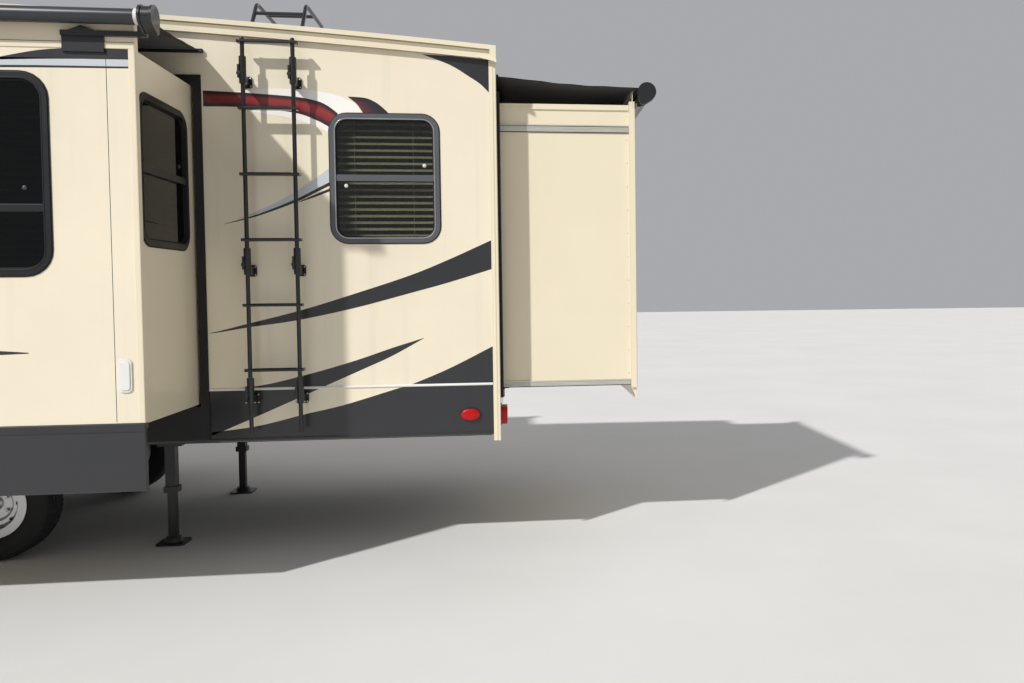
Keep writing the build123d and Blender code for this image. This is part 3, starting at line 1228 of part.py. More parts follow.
# On the roof: the cooling unit under its shroud, low in front, with louvres in both sides
# and the back, and two vents whose lids lap over their bases
UNIT = (STEP_STATION - 1100.0, 1000.0, 720.0, 290.0)  # station, length, width, height
UNIT_FRONT = (330.0, 120.0)  # length of the sloping front, and height of its foot
UNIT_BACK = 70.0  # how far the back leans in at the top
UNIT_EDGE = 60.0
UNIT_BASE = (40.0, 12.0)  # how far the base stands out of the shroud, and its thickness
LOUVRES = 5
LOUVRE = (400.0, 14.0, 12.0)  # length, height, depth
LOUVRE_STEP = 32.0
LOUVRE_LOW = 70.0  # height of the lowest one above the roof
with BuildPart() as cooler:
    base_z = ROOF_CREST_Z + SEAM
    middle = at(UNIT[0])
    half_long, half = UNIT[1] / 2 - UNIT_BASE[0], UNIT[2] / 2 - UNIT_BASE[0]
    tail, head = middle - half_long, middle + half_long
    with BuildSketch(side_plane(half)) as side_view:
        with BuildLine():
            Polyline((tail, base_z), (head, base_z), (head, base_z + UNIT_FRONT[1]),
                     (head - UNIT_FRONT[0], base_z + UNIT[3]), (tail + UNIT_BACK, base_z + UNIT[3]),
                     close=True)
        make_face()
        fillet(side_view.vertices().group_by(Axis.Y)[-1], UNIT_EDGE)
    extrude(amount=2 * half)
    with BuildSketch(Plane(origin=(middle, 0, base_z))):
        RectangleRounded(2 * half_long, 2 * half, UNIT_EDGE)
    extrude(amount=UNIT[3], mode=Mode.INTERSECT)
    with BuildSketch(Plane(origin=(middle, 0, base_z))):
        RectangleRounded(UNIT[1], UNIT[2], UNIT_EDGE + UNIT_BASE[0])
    extrude(amount=UNIT_BASE[1])
    for count in range(LOUVRES):
        low = LOUVRE_LOW + count * LOUVRE_STEP
        x = tail + UNIT_BACK * low / UNIT[3] + LOUVRE[2]
        slot = (base_z + low, base_z + low + LOUVRE[1])
        rows = [((tail - LOUVRE[2], x), (-LOUVRE[0] / 2, LOUVRE[0] / 2))]
        rows += [((middle - LOUVRE[0] / 2 - UNIT_EDGE, middle + LOUVRE[0] / 2 - UNIT_EDGE),
                  (side * (half - LOUVRE[2]), side * (half + LOUVRE[2]))) for side in (1, -1)]
        for along, out in rows:
            with Locations((sum(along) / 2, sum(out) / 2, sum(slot) / 2)):
                Box(along[1] - along[0], abs(out[1] - out[0]), LOUVRE[1], mode=Mode.SUBTRACT)
save(cooler, "roof_cooler")

VENT_STATIONS = (CAP_STATION - 1050.0, STEP_STATION - 150.0)
VENT = (420.0, 110.0)  # side and height
VENT_NECK = (30.0, 34.0)  # how far the base lies inside the lid, and where the lid starts
VENT_FLANGE = 6.0
VENT_TAPER = 12.0
with BuildPart() as vents:
    for station in VENT_STATIONS:
        for side, low, high, taper in (
            (VENT[0], 0.0, VENT_FLANGE, 0),
            (VENT[0] - 2 * VENT_NECK[0], 0.0, VENT_NECK[1], 0),
            (VENT[0], VENT_NECK[1], VENT[1], VENT_TAPER),
        ):
            with BuildSketch(Plane(origin=(at(station), 0, ROOF_CREST_Z + SEAM + low))):
                RectangleRounded(side, side, VENT_NECK[0] + VENT_FLANGE)
            extrude(amount=high - low, taper=taper)
save(vents, "roof_vents")

# Rolled patio awning on the door side. Its arms are channels on the wall, each with the
# folded rafter inside, and carry the roller by a bracket and an end cap.
AWNING = (ENTRY[0] - 190.0, CAP_STATION - 250.0)
AWNING_RADIUS = 52.0
AWNING_OUT = 100.0
AWNING_Z = ROOF_REAR_Z + 60.0
AWNING_FOOT_Z = AWNING_Z - 1170.0
AWNING_ARM = (50.0, 34.0)
ARM_PAST = 30.0  # how far an arm reaches above the roller's middle
ARM_SHEET = 5.0
ARM_END = 40.0  # length of the closed ends of its channel
RAFTER = (26.0, 20.0)
BRACKET_HALF = 20.0
END_CAP = (6.0, 34.0)  # how far it stands out of the roller, and its length
END_CAP_SIDES = 12
with BuildPart() as awning:
    with BuildSketch(cross_plane(at(AWNING[0]))):
        with Locations((-HALF - AWNING_OUT, AWNING_Z)):
            Circle(AWNING_RADIUS)
    extrude(amount=AWNING[1] - AWNING[0])
    for station in (AWNING[0], AWNING[1] - END_CAP[1]):
        with BuildSketch(cross_plane(at(station))):
            with Locations((-HALF - AWNING_OUT, AWNING_Z)):
                RegularPolygon(AWNING_RADIUS + END_CAP[0], END_CAP_SIDES)
        extrude(amount=END_CAP[1])
    for station in (AWNING[0], AWNING[1] - AWNING_ARM[0]):
        x = at(station) + AWNING_ARM[0] / 2
        outer, inner = -HALF - SEAM - AWNING_ARM[1], -HALF - SEAM
        block((x - AWNING_ARM[0] / 2, x + AWNING_ARM[0] / 2), (outer, inner),
              (AWNING_FOOT_Z, AWNING_Z + ARM_PAST))
        groove = AWNING_ARM[0] - 2 * ARM_SHEET
        groove_low, groove_high = AWNING_FOOT_Z + ARM_END, AWNING_Z - ARM_END
        with Locations((x, outer + (AWNING_ARM[1] - ARM_SHEET) / 2, (groove_low + groove_high) / 2)):
            Box(groove, AWNING_ARM[1] - ARM_SHEET, groove_high - groove_low, mode=Mode.SUBTRACT)
        block((x - RAFTER[0] / 2, x + RAFTER[0] / 2), (inner - ARM_SHEET - RAFTER[1], inner - ARM_SHEET),
              (groove_low + ARM_SHEET, groove_high))
        block((x - AWNING_ARM[0] / 2, x + AWNING_ARM[0] / 2), (-HALF - AWNING_OUT, inner),
              (AWNING_Z - BRACKET_HALF, AWNING_Z + BRACKET_HALF))
save(awning, "patio_awning")

# Entry steps on the door side, standing on the ground: trays of folded sheet between two
# cut-out stringers
TREADS = 3
TREAD_RISE = 230.0
TREAD_GOING = 190.0
TREAD = 30.0  # height of a tray's folded edges
TREAD_SHEET = 5.0
TREAD_DEPTH = 220.0
STRINGER = 8.0
STRINGER_DROP = 180.0  # its depth at the wall
STRINGER_FOOT = 60.0
STEP_IN = 20.0  # how far the steps are narrower than the doorway at each side
STEP_TOP = BELLY_Z + ENTRY[2] - TREAD_RISE
STEP_EDGE = HALF + 12.0
STEP_PLATE = 60.0  # how far the back plate reaches above the wall's edge and below the top tread
STEP_BAR = 40.0
with BuildPart() as steps:
    low_x, high_x = at(ENTRY[0] + STEP_IN), at(ENTRY[1] - STEP_IN)
    for count in range(TREADS):
        y = -STEP_EDGE - count * TREAD_GOING
        z = STEP_TOP - count * TREAD_RISE
        block((low_x, high_x), (y - TREAD_DEPTH, y), (z - TREAD_SHEET, z))
        for edge in (y - TREAD_DEPTH, y - TREAD_SHEET):
            block((low_x, high_x), (edge, edge + TREAD_SHEET), (z - TREAD, z))
    for x in (low_x, high_x - STRINGER):
        with BuildSketch(Plane(origin=(x, 0, 0), x_dir=(0, -1, 0), z_dir=(-1, 0, 0))):
            with BuildLine():
                far = STEP_EDGE + (TREADS - 1) * TREAD_GOING + TREAD_DEPTH
                low = STEP_TOP - (TREADS - 1) * TREAD_RISE
                Polyline((STEP_EDGE, STEP_TOP), (STEP_EDGE + TREAD_DEPTH, STEP_TOP), (far, low),
                         (far, 0), (far - STRINGER_FOOT, 0), (far - STRINGER_FOOT, low - TREAD),
                         (STEP_EDGE, STEP_TOP - STRINGER_DROP), close=True)
            make_face()
        extrude(amount=-STRINGER)
    block((low_x, high_x), (-STEP_EDGE, -HALF - SEAM), (STEP_TOP - STEP_PLATE, BELLY_Z + STEP_PLATE))
    block((low_x, high_x), (-far, STRINGER_FOOT - far), (STEP_BAR, 2 * STEP_BAR))
save(steps, "entry_steps")

# Grab handle beside the entry door
GRAB_STATION = ENTRY[0] - 70.0
GRAB_Z = (BELLY_Z + ENTRY[2] + 660.0, BELLY_Z + ENTRY[2] + 1560.0)
GRAB_OUT = 75.0
GRAB_RADIUS = 14.0
GRAB_SLANT = 60.0
GRAB_BEND = 40.0
GRAB_FOOT = (34.0, 8.0)  # radius and thickness
with BuildPart() as grab:
    with BuildLine(section_plane(RIGHT, at(GRAB_STATION))) as grab_path:
        FilletPolyline((SEAM, GRAB_Z[0]), (GRAB_OUT, GRAB_Z[0] + GRAB_SLANT),
                       (GRAB_OUT, GRAB_Z[1] - GRAB_SLANT), (SEAM, GRAB_Z[1]), radius=GRAB_BEND)
    with BuildSketch(Plane(origin=grab_path.line @ 0, z_dir=grab_path.line % 0)):
        Circle(GRAB_RADIUS)
    sweep(path=grab_path.line)
    for z in GRAB_Z:
        with BuildSketch(RIGHT.offset(SEAM)):
            with Locations((at(GRAB_STATION), z)):
                Circle(GRAB_FOOT[0])
        extrude(amount=GRAB_FOOT[1])
    split(bisect_by=Plane(origin=(0, -HALF - SEAM, 0), z_dir=(0, -1, 0)), keep=Keep.TOP)
save(grab, "grab_handle")
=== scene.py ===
# %% [markdown]
# # A travel caravan, dressed for the studio
# The solids of the caravan come in as a fixed frame: walls, rooms that slide out, wheels,
# ladder and legs, all at their real size in metres, with +X to the towing end, +Y to the
# road side and +Z up. Everything below adds finishes and fine pieces around that frame, and
# each new piece rides on one of its bodies, so that doors and rooms take their trim along.

# %% Load the frame
import math

import bmesh
import bpy
from mathutils import Matrix, Vector


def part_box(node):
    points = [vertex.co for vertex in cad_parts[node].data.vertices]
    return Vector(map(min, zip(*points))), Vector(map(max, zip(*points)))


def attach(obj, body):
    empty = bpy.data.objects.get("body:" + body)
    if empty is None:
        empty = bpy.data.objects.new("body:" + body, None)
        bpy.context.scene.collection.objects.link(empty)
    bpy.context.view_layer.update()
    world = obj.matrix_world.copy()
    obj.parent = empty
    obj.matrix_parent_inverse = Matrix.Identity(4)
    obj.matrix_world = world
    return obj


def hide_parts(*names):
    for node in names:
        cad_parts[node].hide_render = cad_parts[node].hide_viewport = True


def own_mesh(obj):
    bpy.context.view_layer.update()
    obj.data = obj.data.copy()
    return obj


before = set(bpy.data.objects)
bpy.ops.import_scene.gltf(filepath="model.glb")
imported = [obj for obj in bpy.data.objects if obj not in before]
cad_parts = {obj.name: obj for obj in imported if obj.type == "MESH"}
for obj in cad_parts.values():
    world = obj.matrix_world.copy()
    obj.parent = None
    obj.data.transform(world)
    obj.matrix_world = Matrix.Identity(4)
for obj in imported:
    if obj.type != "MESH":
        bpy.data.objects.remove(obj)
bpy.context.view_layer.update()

# %% [markdown]
# ## Places on the walls
# A maker marks out a wall by two distances: along it, from the rear corner, and up, from
# its lower edge. Each wall, room face and room end gets an origin, a direction along it and
# a direction out of it, read from the frame. A point is then given as (along, up, out).

# %% Walls
X, Y, Z = Vector((1, 0, 0)), Vector((0, 1, 0)), Vector((0, 0, 1))
REAR_X, _, LOW_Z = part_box("left_wall")[0]
SIDE_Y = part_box("left_wall")[1].y


def wall_origin(x=REAR_X, y=0.0):
    return Vector((x, y, LOW_Z))


WALLS = {
    "left": (wall_origin(y=SIDE_Y), X, Y),
    "right": (wall_origin(y=-SIDE_Y), X, -Y),
    "rear": (wall_origin(), Y, -X),
    "left_face": (wall_origin(y=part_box("left_room_face")[1].y), X, Y),
    "right_face": (wall_origin(y=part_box("right_room_face")[0].y), X, -Y),
    "rear_face": (wall_origin(x=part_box("rear_room_face")[0].x), Y, -X),
    "left_end": (wall_origin(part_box("left_room_shell")[0].x, SIDE_Y), Y, -X),
    "right_end": (wall_origin(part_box("right_room_shell")[0].x, -SIDE_Y), -Y, -X),
    "left_fore": (wall_origin(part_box("left_room_shell")[1].x, SIDE_Y), Y, X),
    "right_fore": (wall_origin(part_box("right_room_shell")[1].x, -SIDE_Y), -Y, X),
    "rear_left": (wall_origin(y=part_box("rear_room_shell")[1].y), -X, Y),
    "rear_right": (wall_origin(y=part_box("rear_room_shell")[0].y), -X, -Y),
}


def at(wall, along, up, out=0.0):
    origin, along_wall, outwards = WALLS[wall]
    return origin + along * along_wall + up * Z + out * outwards


def limits(node, wall):
    """The limits of a solid along a wall."""
    origin, along_wall, _ = WALLS[wall]
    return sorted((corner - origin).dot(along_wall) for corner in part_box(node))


print("walls", len(WALLS), "rear corner", tuple(round(v, 3) for v in at("left", 0, 0)))

# %% [markdown]
# ## Shapes
# Most trim on a caravan is extruded or pressed. It could be scaled and cut out of cubes and
# cylinders, but then its edges are hard to place. Here a shape is a row of outlines whose
# points are all known, with faces laid from each outline to the next.

# %% Outlines and rings
def rounded(along, up, width, height, radius, steps=6):
    """Outline of a rectangle with round corners, given by its middle."""
    points = []
    for quarter, (sx, sz) in enumerate(((1, 1), (-1, 1), (-1, -1), (1, -1))):
        middle = along + sx * (width / 2 - radius), up + sz * (height / 2 - radius)
        for step in range(steps + 1):
            turn = math.radians(90) * (quarter + step / steps)
            points.append((middle[0] + radius * math.cos(turn), middle[1] + radius * math.sin(turn)))
    return points


def close_rings(bm, rings, closed=True):
    """Joins rings of points, each to the next, and the last to the first if it is closed."""
    rings = [[bm.verts.new(point) for point in ring] for ring in rings]
    pairs = zip(rings, rings[1:] + (rings[:1] if closed else []))
    for one, two in pairs:
        for index in range(len(one)):
            bm.faces.new((one[index - 1], one[index], two[index], two[index - 1]))
    if not closed:
        bm.faces.new(rings[0])
        bm.faces.new(rings[-1])


print("a window's outline has", len(rounded(0, 0, 1, 1, 0.1)), "points")

# %% [markdown]
# ## Flat and drawn-out parts
# A panel is a flat outline with a thickness, a hoop is a ring round an opening, and a bar is a
# straight box. A rail comes out of a die as one profile, so it is drawn out along the wall,
# and a corner strip upwards. Each helper takes places on a wall and adds to a mesh that may
# hold many such parts, since thousands of small objects would be slow to handle.

# %% Parts on a wall
def panel(bm, wall, outline, low, high):
    """A flat solid on a wall, between two distances out of it."""
    close_rings(bm, [[at(wall, *p, out) for p in outline] for out in (low, high)], False)


def hoop(bm, wall, outer, inner, low, high):
    """A flat ring on a wall, between two outlines that have as many points."""
    edges = ((outer, low), (outer, high), (inner, high), (inner, low))
    close_rings(bm, [[at(wall, *p, out) for p in line] for line, out in edges])


def bar(bm, wall, along, up, out):
    """A straight bar on a wall by its limits along, up and out."""
    corners = ((along[0], up[0]), (along[1], up[0]), (along[1], up[1]), (along[0], up[1]))
    panel(bm, wall, corners, *out)


def strip(bm, wall, section, along):
    """A profile of (up, out) points, drawn out along a wall."""
    close_rings(bm, [[at(wall, a, up, out) for up, out in section] for a in along], False)


def upright(bm, wall, section, up):
    """A profile of (along, out) points, drawn out upwards."""
    close_rings(bm, [[at(wall, a, u, out) for a, out in section] for u in up], False)


print("parts on a wall:", *(part.__name__ for part in (panel, hoop, bar, strip, upright)))

# %% [markdown]
# ## Round parts
# Screws, knobs, rollers and rods are round. Each is given as on a lathe, by distances along
# its axis with a radius at each, so a screw's head takes three pairs of numbers. A modifier
# could spin a profile too, but it would need an object for every screw.

# %% Lathe
def turned(bm, start, axis, profile, sides=24):
    """A turned solid: profile gives distances along the axis with radii."""
    axis = axis.normalized()
    across = axis.orthogonal().normalized()
    other = axis.cross(across)
    rings = []
    for along, radius in profile:
        turns = (math.tau * side / sides for side in range(sides))
        rings.append([start + along * axis + radius * (math.cos(t) * across + math.sin(t) * other)
                      for t in turns])
    close_rings(bm, rings, False)


def rod(bm, start, end, radius, sides=16):
    turned(bm, start, end - start, ((0, radius), ((end - start).length, radius)), sides)


print("round parts:", turned.__name__, rod.__name__)

# %% [markdown]
# ## Pieces
# A mesh that is complete becomes a piece. No real edge is quite sharp, and a small bevel lets
# it catch the light. Round parts are shaded smooth, up to a limit of angle that keeps flat
# parts flat. The piece then rides on one of the frame's bodies.

# %% From a mesh to a piece
def linked(bm, name, material):
    """Makes a mesh an object of the scene with its finish."""
    mesh = bpy.data.meshes.new(name)
    bm.to_mesh(mesh)
    bm.free()
    mesh.materials.append(material)
    thing = bpy.data.objects.new(name, mesh)
    bpy.context.scene.collection.objects.link(thing)
    return thing


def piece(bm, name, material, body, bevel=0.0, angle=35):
    """Makes a mesh a piece with smooth faces and soft edges, riding on a body."""
    bmesh.ops.recalc_face_normals(bm, faces=bm.faces)
    thing = linked(bm, name, material)
    thing.data.polygons.foreach_set("use_smooth", [True] * len(thing.data.polygons))
    thing.data.set_sharp_from_angle(angle=math.radians(angle))
    if bevel:
        edge = thing.modifiers.new("edge", "BEVEL")
        edge.width = bevel
        edge.segments = 2
        edge.limit_method = "ANGLE"
        edge.angle_limit = math.radians(40)
        edge.harden_normals = True
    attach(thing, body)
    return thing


# %% [markdown]
# ## Finishes
# No real surface is one flat colour. A gelcoat wall is slightly wavy and chalky in patches,
# rubber is dull where it is worn, paint over steel has a fine skin. One function makes such a
# surface from two noise patterns in the object's own coordinates: a slow one that shifts the
# colour and the gloss, and a fine one that raises a relief of a few hundredths of a
# millimetre. Values that are the same all over stay on the shader itself.

# %% A surface with patches and grain
def colour_of(code, shade=1.0):
    """A colour written as on a paint card, in the linear values that a shader takes."""
    parts = [int(code[i:i + 2], 16) / 255 for i in (1, 3, 5)]
    return [min(1.0, (c / 12.92 if c <= 0.04045 else ((c + 0.055) / 1.055) ** 2.4) * shade)
            for c in parts] + [1.0]


def wire(tree, kind, place=None, **values):
    """Adds one node, sets its values, and feeds it the coordinates."""
    node = tree.nodes.new(kind)
    for name, value in values.items():
        socket = node.inputs.get(name.replace("_", " ").title())
        if socket is None or hasattr(node, name):
            setattr(node, name, value)
        else:
            socket.default_value = value
    if place is not None:
        tree.links.new(place, node.inputs["Vector"])
    return node


def ranged(tree, value, before, after):
    """Maps a value that runs between two limits on to two others."""
    node = tree.nodes.new("ShaderNodeMapRange")
    for name, limit in zip(("From Min", "From Max", "To Min", "To Max"), (*before, *after)):
        node.inputs[name].default_value = limit
    tree.links.new(value, node.inputs["Value"])
    return node.outputs["Result"]


def finish(name, colour, roughness, patch=2.5, spread=0.10, gloss=0.10, grain=700.0,
           relief=0.00003, stretch=(1, 1, 1), **sockets):
    """A finish whose colour and gloss vary in patches, with a fine grain in relief."""
    material = bpy.data.materials.new(name)
    material.use_nodes = True
    tree = material.node_tree
    shader = tree.nodes["Principled BSDF"]
    place = tree.nodes.new("ShaderNodeTexCoord").outputs["Object"]
    if stretch != (1, 1, 1):
        scaled = wire(tree, "ShaderNodeMapping", place)
        scaled.inputs["Scale"].default_value = stretch
        place = scaled.outputs["Vector"]
    slow = wire(tree, "ShaderNodeTexNoise", place, scale=patch, detail=5.0, roughness=0.6)
    tone = wire(tree, "ShaderNodeValToRGB")
    for stop, position, shade in zip(tone.color_ramp.elements, (0.3, 0.7), (1 - spread, 1 + spread / 3)):
        stop.position = position
        stop.color = colour_of(colour, shade)
    tree.links.new(slow.outputs["Fac"], tone.inputs["Fac"])
    tree.links.new(tone.outputs["Color"], shader.inputs["Base Color"])
    glossy, dull = max(0.02, roughness - gloss), min(1.0, roughness + gloss)
    sheen = ranged(tree, slow.outputs["Fac"], (0, 1), (glossy, dull))
    tree.links.new(sheen, shader.inputs["Roughness"])
    fine = wire(tree, "ShaderNodeTexNoise", place, scale=grain, detail=3.0)
    raised = wire(tree, "ShaderNodeBump")
    raised.inputs["Distance"].default_value = relief
    raised.inputs["Strength"].default_value = 1.0
    tree.links.new(fine.outputs["Fac"], raised.inputs["Height"])
    tree.links.new(raised.outputs["Normal"], shader.inputs["Normal"])
    for socket, value in sockets.items():
        shader.inputs[socket.replace("_", " ")].default_value = value
    return material


print("channels of a colour", len(colour_of("#FFFFFF")))

# %% [markdown]
# ## Plain finishes
# Mouldings, the roof's sheet, frames, rubber, painted and bright metal, tyres and films all
# get such a surface. Their colours follow the photo where it shows them, and elsewhere what
# such parts are made of. Metal has a Metallic value, and smooth paint or film a clear coat.

# %% A set of finishes
CREAM = "#EADFC6"
CHARCOAL = "#27282B"
trim_cream = finish("trim_cream", "#E6DABF", 0.35, patch=1.1, spread=0.04, grain=400,
                    Coat_Weight=0.2)
roof_membrane = finish("roof_membrane", "#D9D7CF", 0.75, patch=1.3, spread=0.16, relief=0.0004,
                       grain=160)
# The walls' window frames are black paint made grey as if in sunlight: painted light.
sunlit_frame_paint = finish("sunlit_frame_paint", "#55575B", 0.36, grain=900, relief=0.00004)
black_frame = finish("black_frame", "#121315", 0.34, grain=900, relief=0.00004)
rubber = finish("rubber", "#17171A", 0.72, spread=0.25, grain=500, relief=0.00006)
black_paint = finish("black_paint", "#1B1B1D", 0.42, spread=0.2, grain=260, relief=0.00008)
black_tube = finish("black_tube", "#161618", 0.33, spread=0.2, grain=900, relief=0.00002,
                    Coat_Weight=0.3)
moulded_black = finish("moulded_black", "#17171A", 0.36, grain=1400, relief=0.00004, Coat_Weight=0.3)
alloy = finish("alloy", "#C9C9C6", 0.32, grain=900, stretch=(1, 1, 12), relief=0.00002,
               Metallic=1.0)
zinc = finish("zinc", "#B9B8B2", 0.3, patch=30, Metallic=1.0)
rim_paint = finish("rim_paint", "#C4C5C6", 0.33, grain=500, Metallic=0.75, Coat_Weight=0.3)
tyre_rubber = finish("tyre_rubber", "#1C1C1D", 0.8, patch=6, spread=0.3, grain=420, relief=0.0001)
floor_vinyl = finish("floor_vinyl", "#8A6F55", 0.5, stretch=(1, 9, 1), grain=120)
belly_sheet = finish("belly_sheet", "#1A1A1C", 0.6, grain=90, stretch=(1, 0.02, 1), relief=0.0006)
charcoal_vinyl = finish("charcoal_vinyl", CHARCOAL, 0.34, spread=0.14, grain=1200, relief=0.00002,
                        Coat_Weight=0.25, Coat_Roughness=0.12)
white_vinyl = finish("white_vinyl", "#F4F1EA", 0.3, spread=0.04, Coat_Weight=0.25)
grey_vinyl = finish("grey_vinyl", "#C3C8CC", 0.3, spread=0.06, Coat_Weight=0.25)
print("finishes", len(bpy.data.materials))

# %% [markdown]
# ## Two colours on one wall
# Under the rooms and at the front the lower wall is charcoal, with a straight edge at the
# skirt's rail. The colour comes from the height itself: a node compares the surface's own Z
# with the edge, so the hatches carry the same edge as the wall round them and keep it when
# they swing open. Such sums need two small helpers, one for a sum and one that lays a colour
# over a finish.

# %% Sums and paint
def maths(tree, operation, *values):
    """One sum on a surface, with numbers or the outputs of other nodes."""
    node = tree.nodes.new("ShaderNodeMath")
    node.operation = operation
    for socket, value in zip(node.inputs, values):
        if isinstance(value, (int, float)):
            socket.default_value = value
        else:
            tree.links.new(value, socket)
    return node.outputs[0]


def paint_over(tree, factor, colour):
    """Lays a second colour over a finish wherever the factor is 1."""
    base = tree.nodes["Principled BSDF"].inputs["Base Color"]
    mix = tree.nodes.new("ShaderNodeMix")
    mix.data_type = "RGBA"
    tree.links.new(factor, mix.inputs["Factor"])
    tree.links.new(base.links[0].from_socket, mix.inputs[6])
    mix.inputs[7].default_value = colour_of(colour)
    tree.links.new(mix.outputs[2], base)


print("finishes so far", len(bpy.data.materials))

# %% [markdown]
# ## Gelcoat
# Gelcoat is the glossy skin of a moulded wall. On the front cap the dark colour's edge rises
# in a curve. Faint streaks run down from the gutter, as rain leaves them: they are noise that
# is drawn out along Z. The gutter's own groove is darker: painted shade, found by how far out
# it lies.

# %% Gelcoat in cream and charcoal
SKIRT_UP, FACE_SKIRT_UP = 0.323, 0.246
PAINTED_FROM = 1.70
STREAKS = "#9C9484"


def gelcoat(name, edge_z, from_x, rise=0.0):
    """Cream gelcoat that is charcoal below a line, ahead of a place; rise bends the line up."""
    material = finish(name, CREAM, 0.3, patch=1.4, spread=0.05, gloss=0.06, grain=9.0,
                      relief=0.0006, Coat_Weight=0.35, Coat_Roughness=0.08)
    tree = material.node_tree
    place = tree.nodes.new("ShaderNodeTexCoord").outputs["Object"]
    split = wire(tree, "ShaderNodeSeparateXYZ", place).outputs
    ahead = maths(tree, "MAXIMUM", maths(tree, "SUBTRACT", split["X"], from_x), 0.0)
    line = maths(tree, "MULTIPLY_ADD", maths(tree, "MULTIPLY", ahead, ahead), rise, edge_z)
    below = maths(tree, "LESS_THAN", split["Z"], line)
    inside = maths(tree, "GREATER_THAN", split["X"], from_x)
    drawn_down = wire(tree, "ShaderNodeMapping", place)
    drawn_down.inputs["Scale"].default_value = (14, 14, 0.5)
    streak = wire(tree, "ShaderNodeTexNoise", drawn_down.outputs["Vector"], scale=1.0, detail=4.0)
    paint_over(tree, ranged(tree, streak.outputs["Fac"], (0.55, 0.8), (0.0, 0.13)), STREAKS)
    paint_over(tree, maths(tree, "MULTIPLY", below, inside), CHARCOAL)
    return material


def grooved(name, colour, groove_shade, floor_y):
    """A cream trim whose grooves, nearer to the middle than floor_y, are darkened as painted shade."""
    material = finish(name, colour, 0.35, patch=1.1, spread=0.04, grain=400, Coat_Weight=0.2)
    tree = material.node_tree
    split = wire(tree, "ShaderNodeSeparateXYZ", tree.nodes.new("ShaderNodeTexCoord").outputs["Object"])
    away = maths(tree, "ABSOLUTE", split.outputs["Y"])
    # Painted shade: the groove, which lies further in than floor_y, gets the darker colour.
    paint_over(tree, ranged(tree, away, (floor_y - 0.001, floor_y + 0.002), (1, 0)), groove_shade)
    return material


GROOVE_FLOOR_Y = SIDE_Y + 0.0265
# The gutter's groove gets a darker cream as painted shade.
gutter_trim = grooved("gutter_trim", "#E6DABF", "#A89C82", GROOVE_FLOOR_Y)
wall_gelcoat = gelcoat("wall_gelcoat", LOW_Z + SKIRT_UP, REAR_X + PAINTED_FROM)
face_gelcoat = gelcoat("face_gelcoat", LOW_Z + FACE_SKIRT_UP, REAR_X + PAINTED_FROM)
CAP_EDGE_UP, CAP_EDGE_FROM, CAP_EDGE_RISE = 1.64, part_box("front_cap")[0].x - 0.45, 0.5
cap_gelcoat = gelcoat("cap_gelcoat", LOW_Z + CAP_EDGE_UP, CAP_EDGE_FROM, CAP_EDGE_RISE)
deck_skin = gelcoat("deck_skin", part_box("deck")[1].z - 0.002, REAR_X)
print("two-colour edge at", round(LOW_Z + SKIRT_UP, 3))

# %% [markdown]
# ## Glass
# Caravan windows are tinted safety glass. The shader bends light and mirrors the room, with
# a dark tint. In the rooms and the door the tint and the film are much darker, as painted
# shade, and the index is lower, so that the glass mirrors less. Glass would also block the
# lamps, and the blinds behind it would stay black, so shadow rays meet a plain tinted film
# instead and light gets in as it really does. The red lenses of the lamps are plain plastic.

# %% Tinted glass and red lenses
def pane(name, tint, film, bend):
    """Tinted glass that bends light by an index, and the film that shadow rays meet."""
    material = bpy.data.materials.new(name)
    material.use_nodes = True
    tree = material.node_tree
    shader = tree.nodes["Principled BSDF"]
    shader.inputs["Base Color"].default_value = colour_of(tint)
    shader.inputs["Transmission Weight"].default_value = 1.0
    shader.inputs["Roughness"].default_value = 0.02
    shader.inputs["IOR"].default_value = bend
    place = tree.nodes.new("ShaderNodeTexCoord").outputs["Object"]
    wave = wire(tree, "ShaderNodeTexNoise", place, scale=1.6, detail=1.0)
    raised = wire(tree, "ShaderNodeBump")
    raised.inputs["Distance"].default_value = 0.0015
    tree.links.new(wave.outputs["Fac"], raised.inputs["Height"])
    tree.links.new(raised.outputs["Normal"], shader.inputs["Normal"])
    clear = wire(tree, "ShaderNodeBsdfTransparent")
    clear.inputs["Color"].default_value = colour_of(film)
    mix = tree.nodes.new("ShaderNodeMixShader")
    tree.links.new(tree.nodes.new("ShaderNodeLightPath").outputs["Is Shadow Ray"], mix.inputs[0])
    tree.links.new(shader.outputs[0], mix.inputs[1])
    tree.links.new(clear.outputs[0], mix.inputs[2])
    tree.links.new(mix.outputs[0], tree.nodes["Material Output"].inputs["Surface"])
    return material


tinted_glass = pane("tinted_glass", "#909286", "#D2D4CA", 1.5)
# The rooms' and the door's tint and film are much darker: painted shade on those windows.
painted_shade_glass = pane("painted_shade_glass", "#2C3330", "#565D59", 1.36)
red_lens = finish("red_lens", "#B80009", 0.3, patch=40, spread=0.12, grain=240, relief=0.0006,
                  Coat_Weight=0.12, Specular_IOR_Level=0.3)
print("glass ready")

# %% [markdown]
# ## The frame's own finishes
# Every solid that stays as it is gets its finish here. The table names each one by its
# material, and the loop fills the solid's material slot. Tyres, window frames and cloths
# aren't listed, since finer pieces take their place further down.

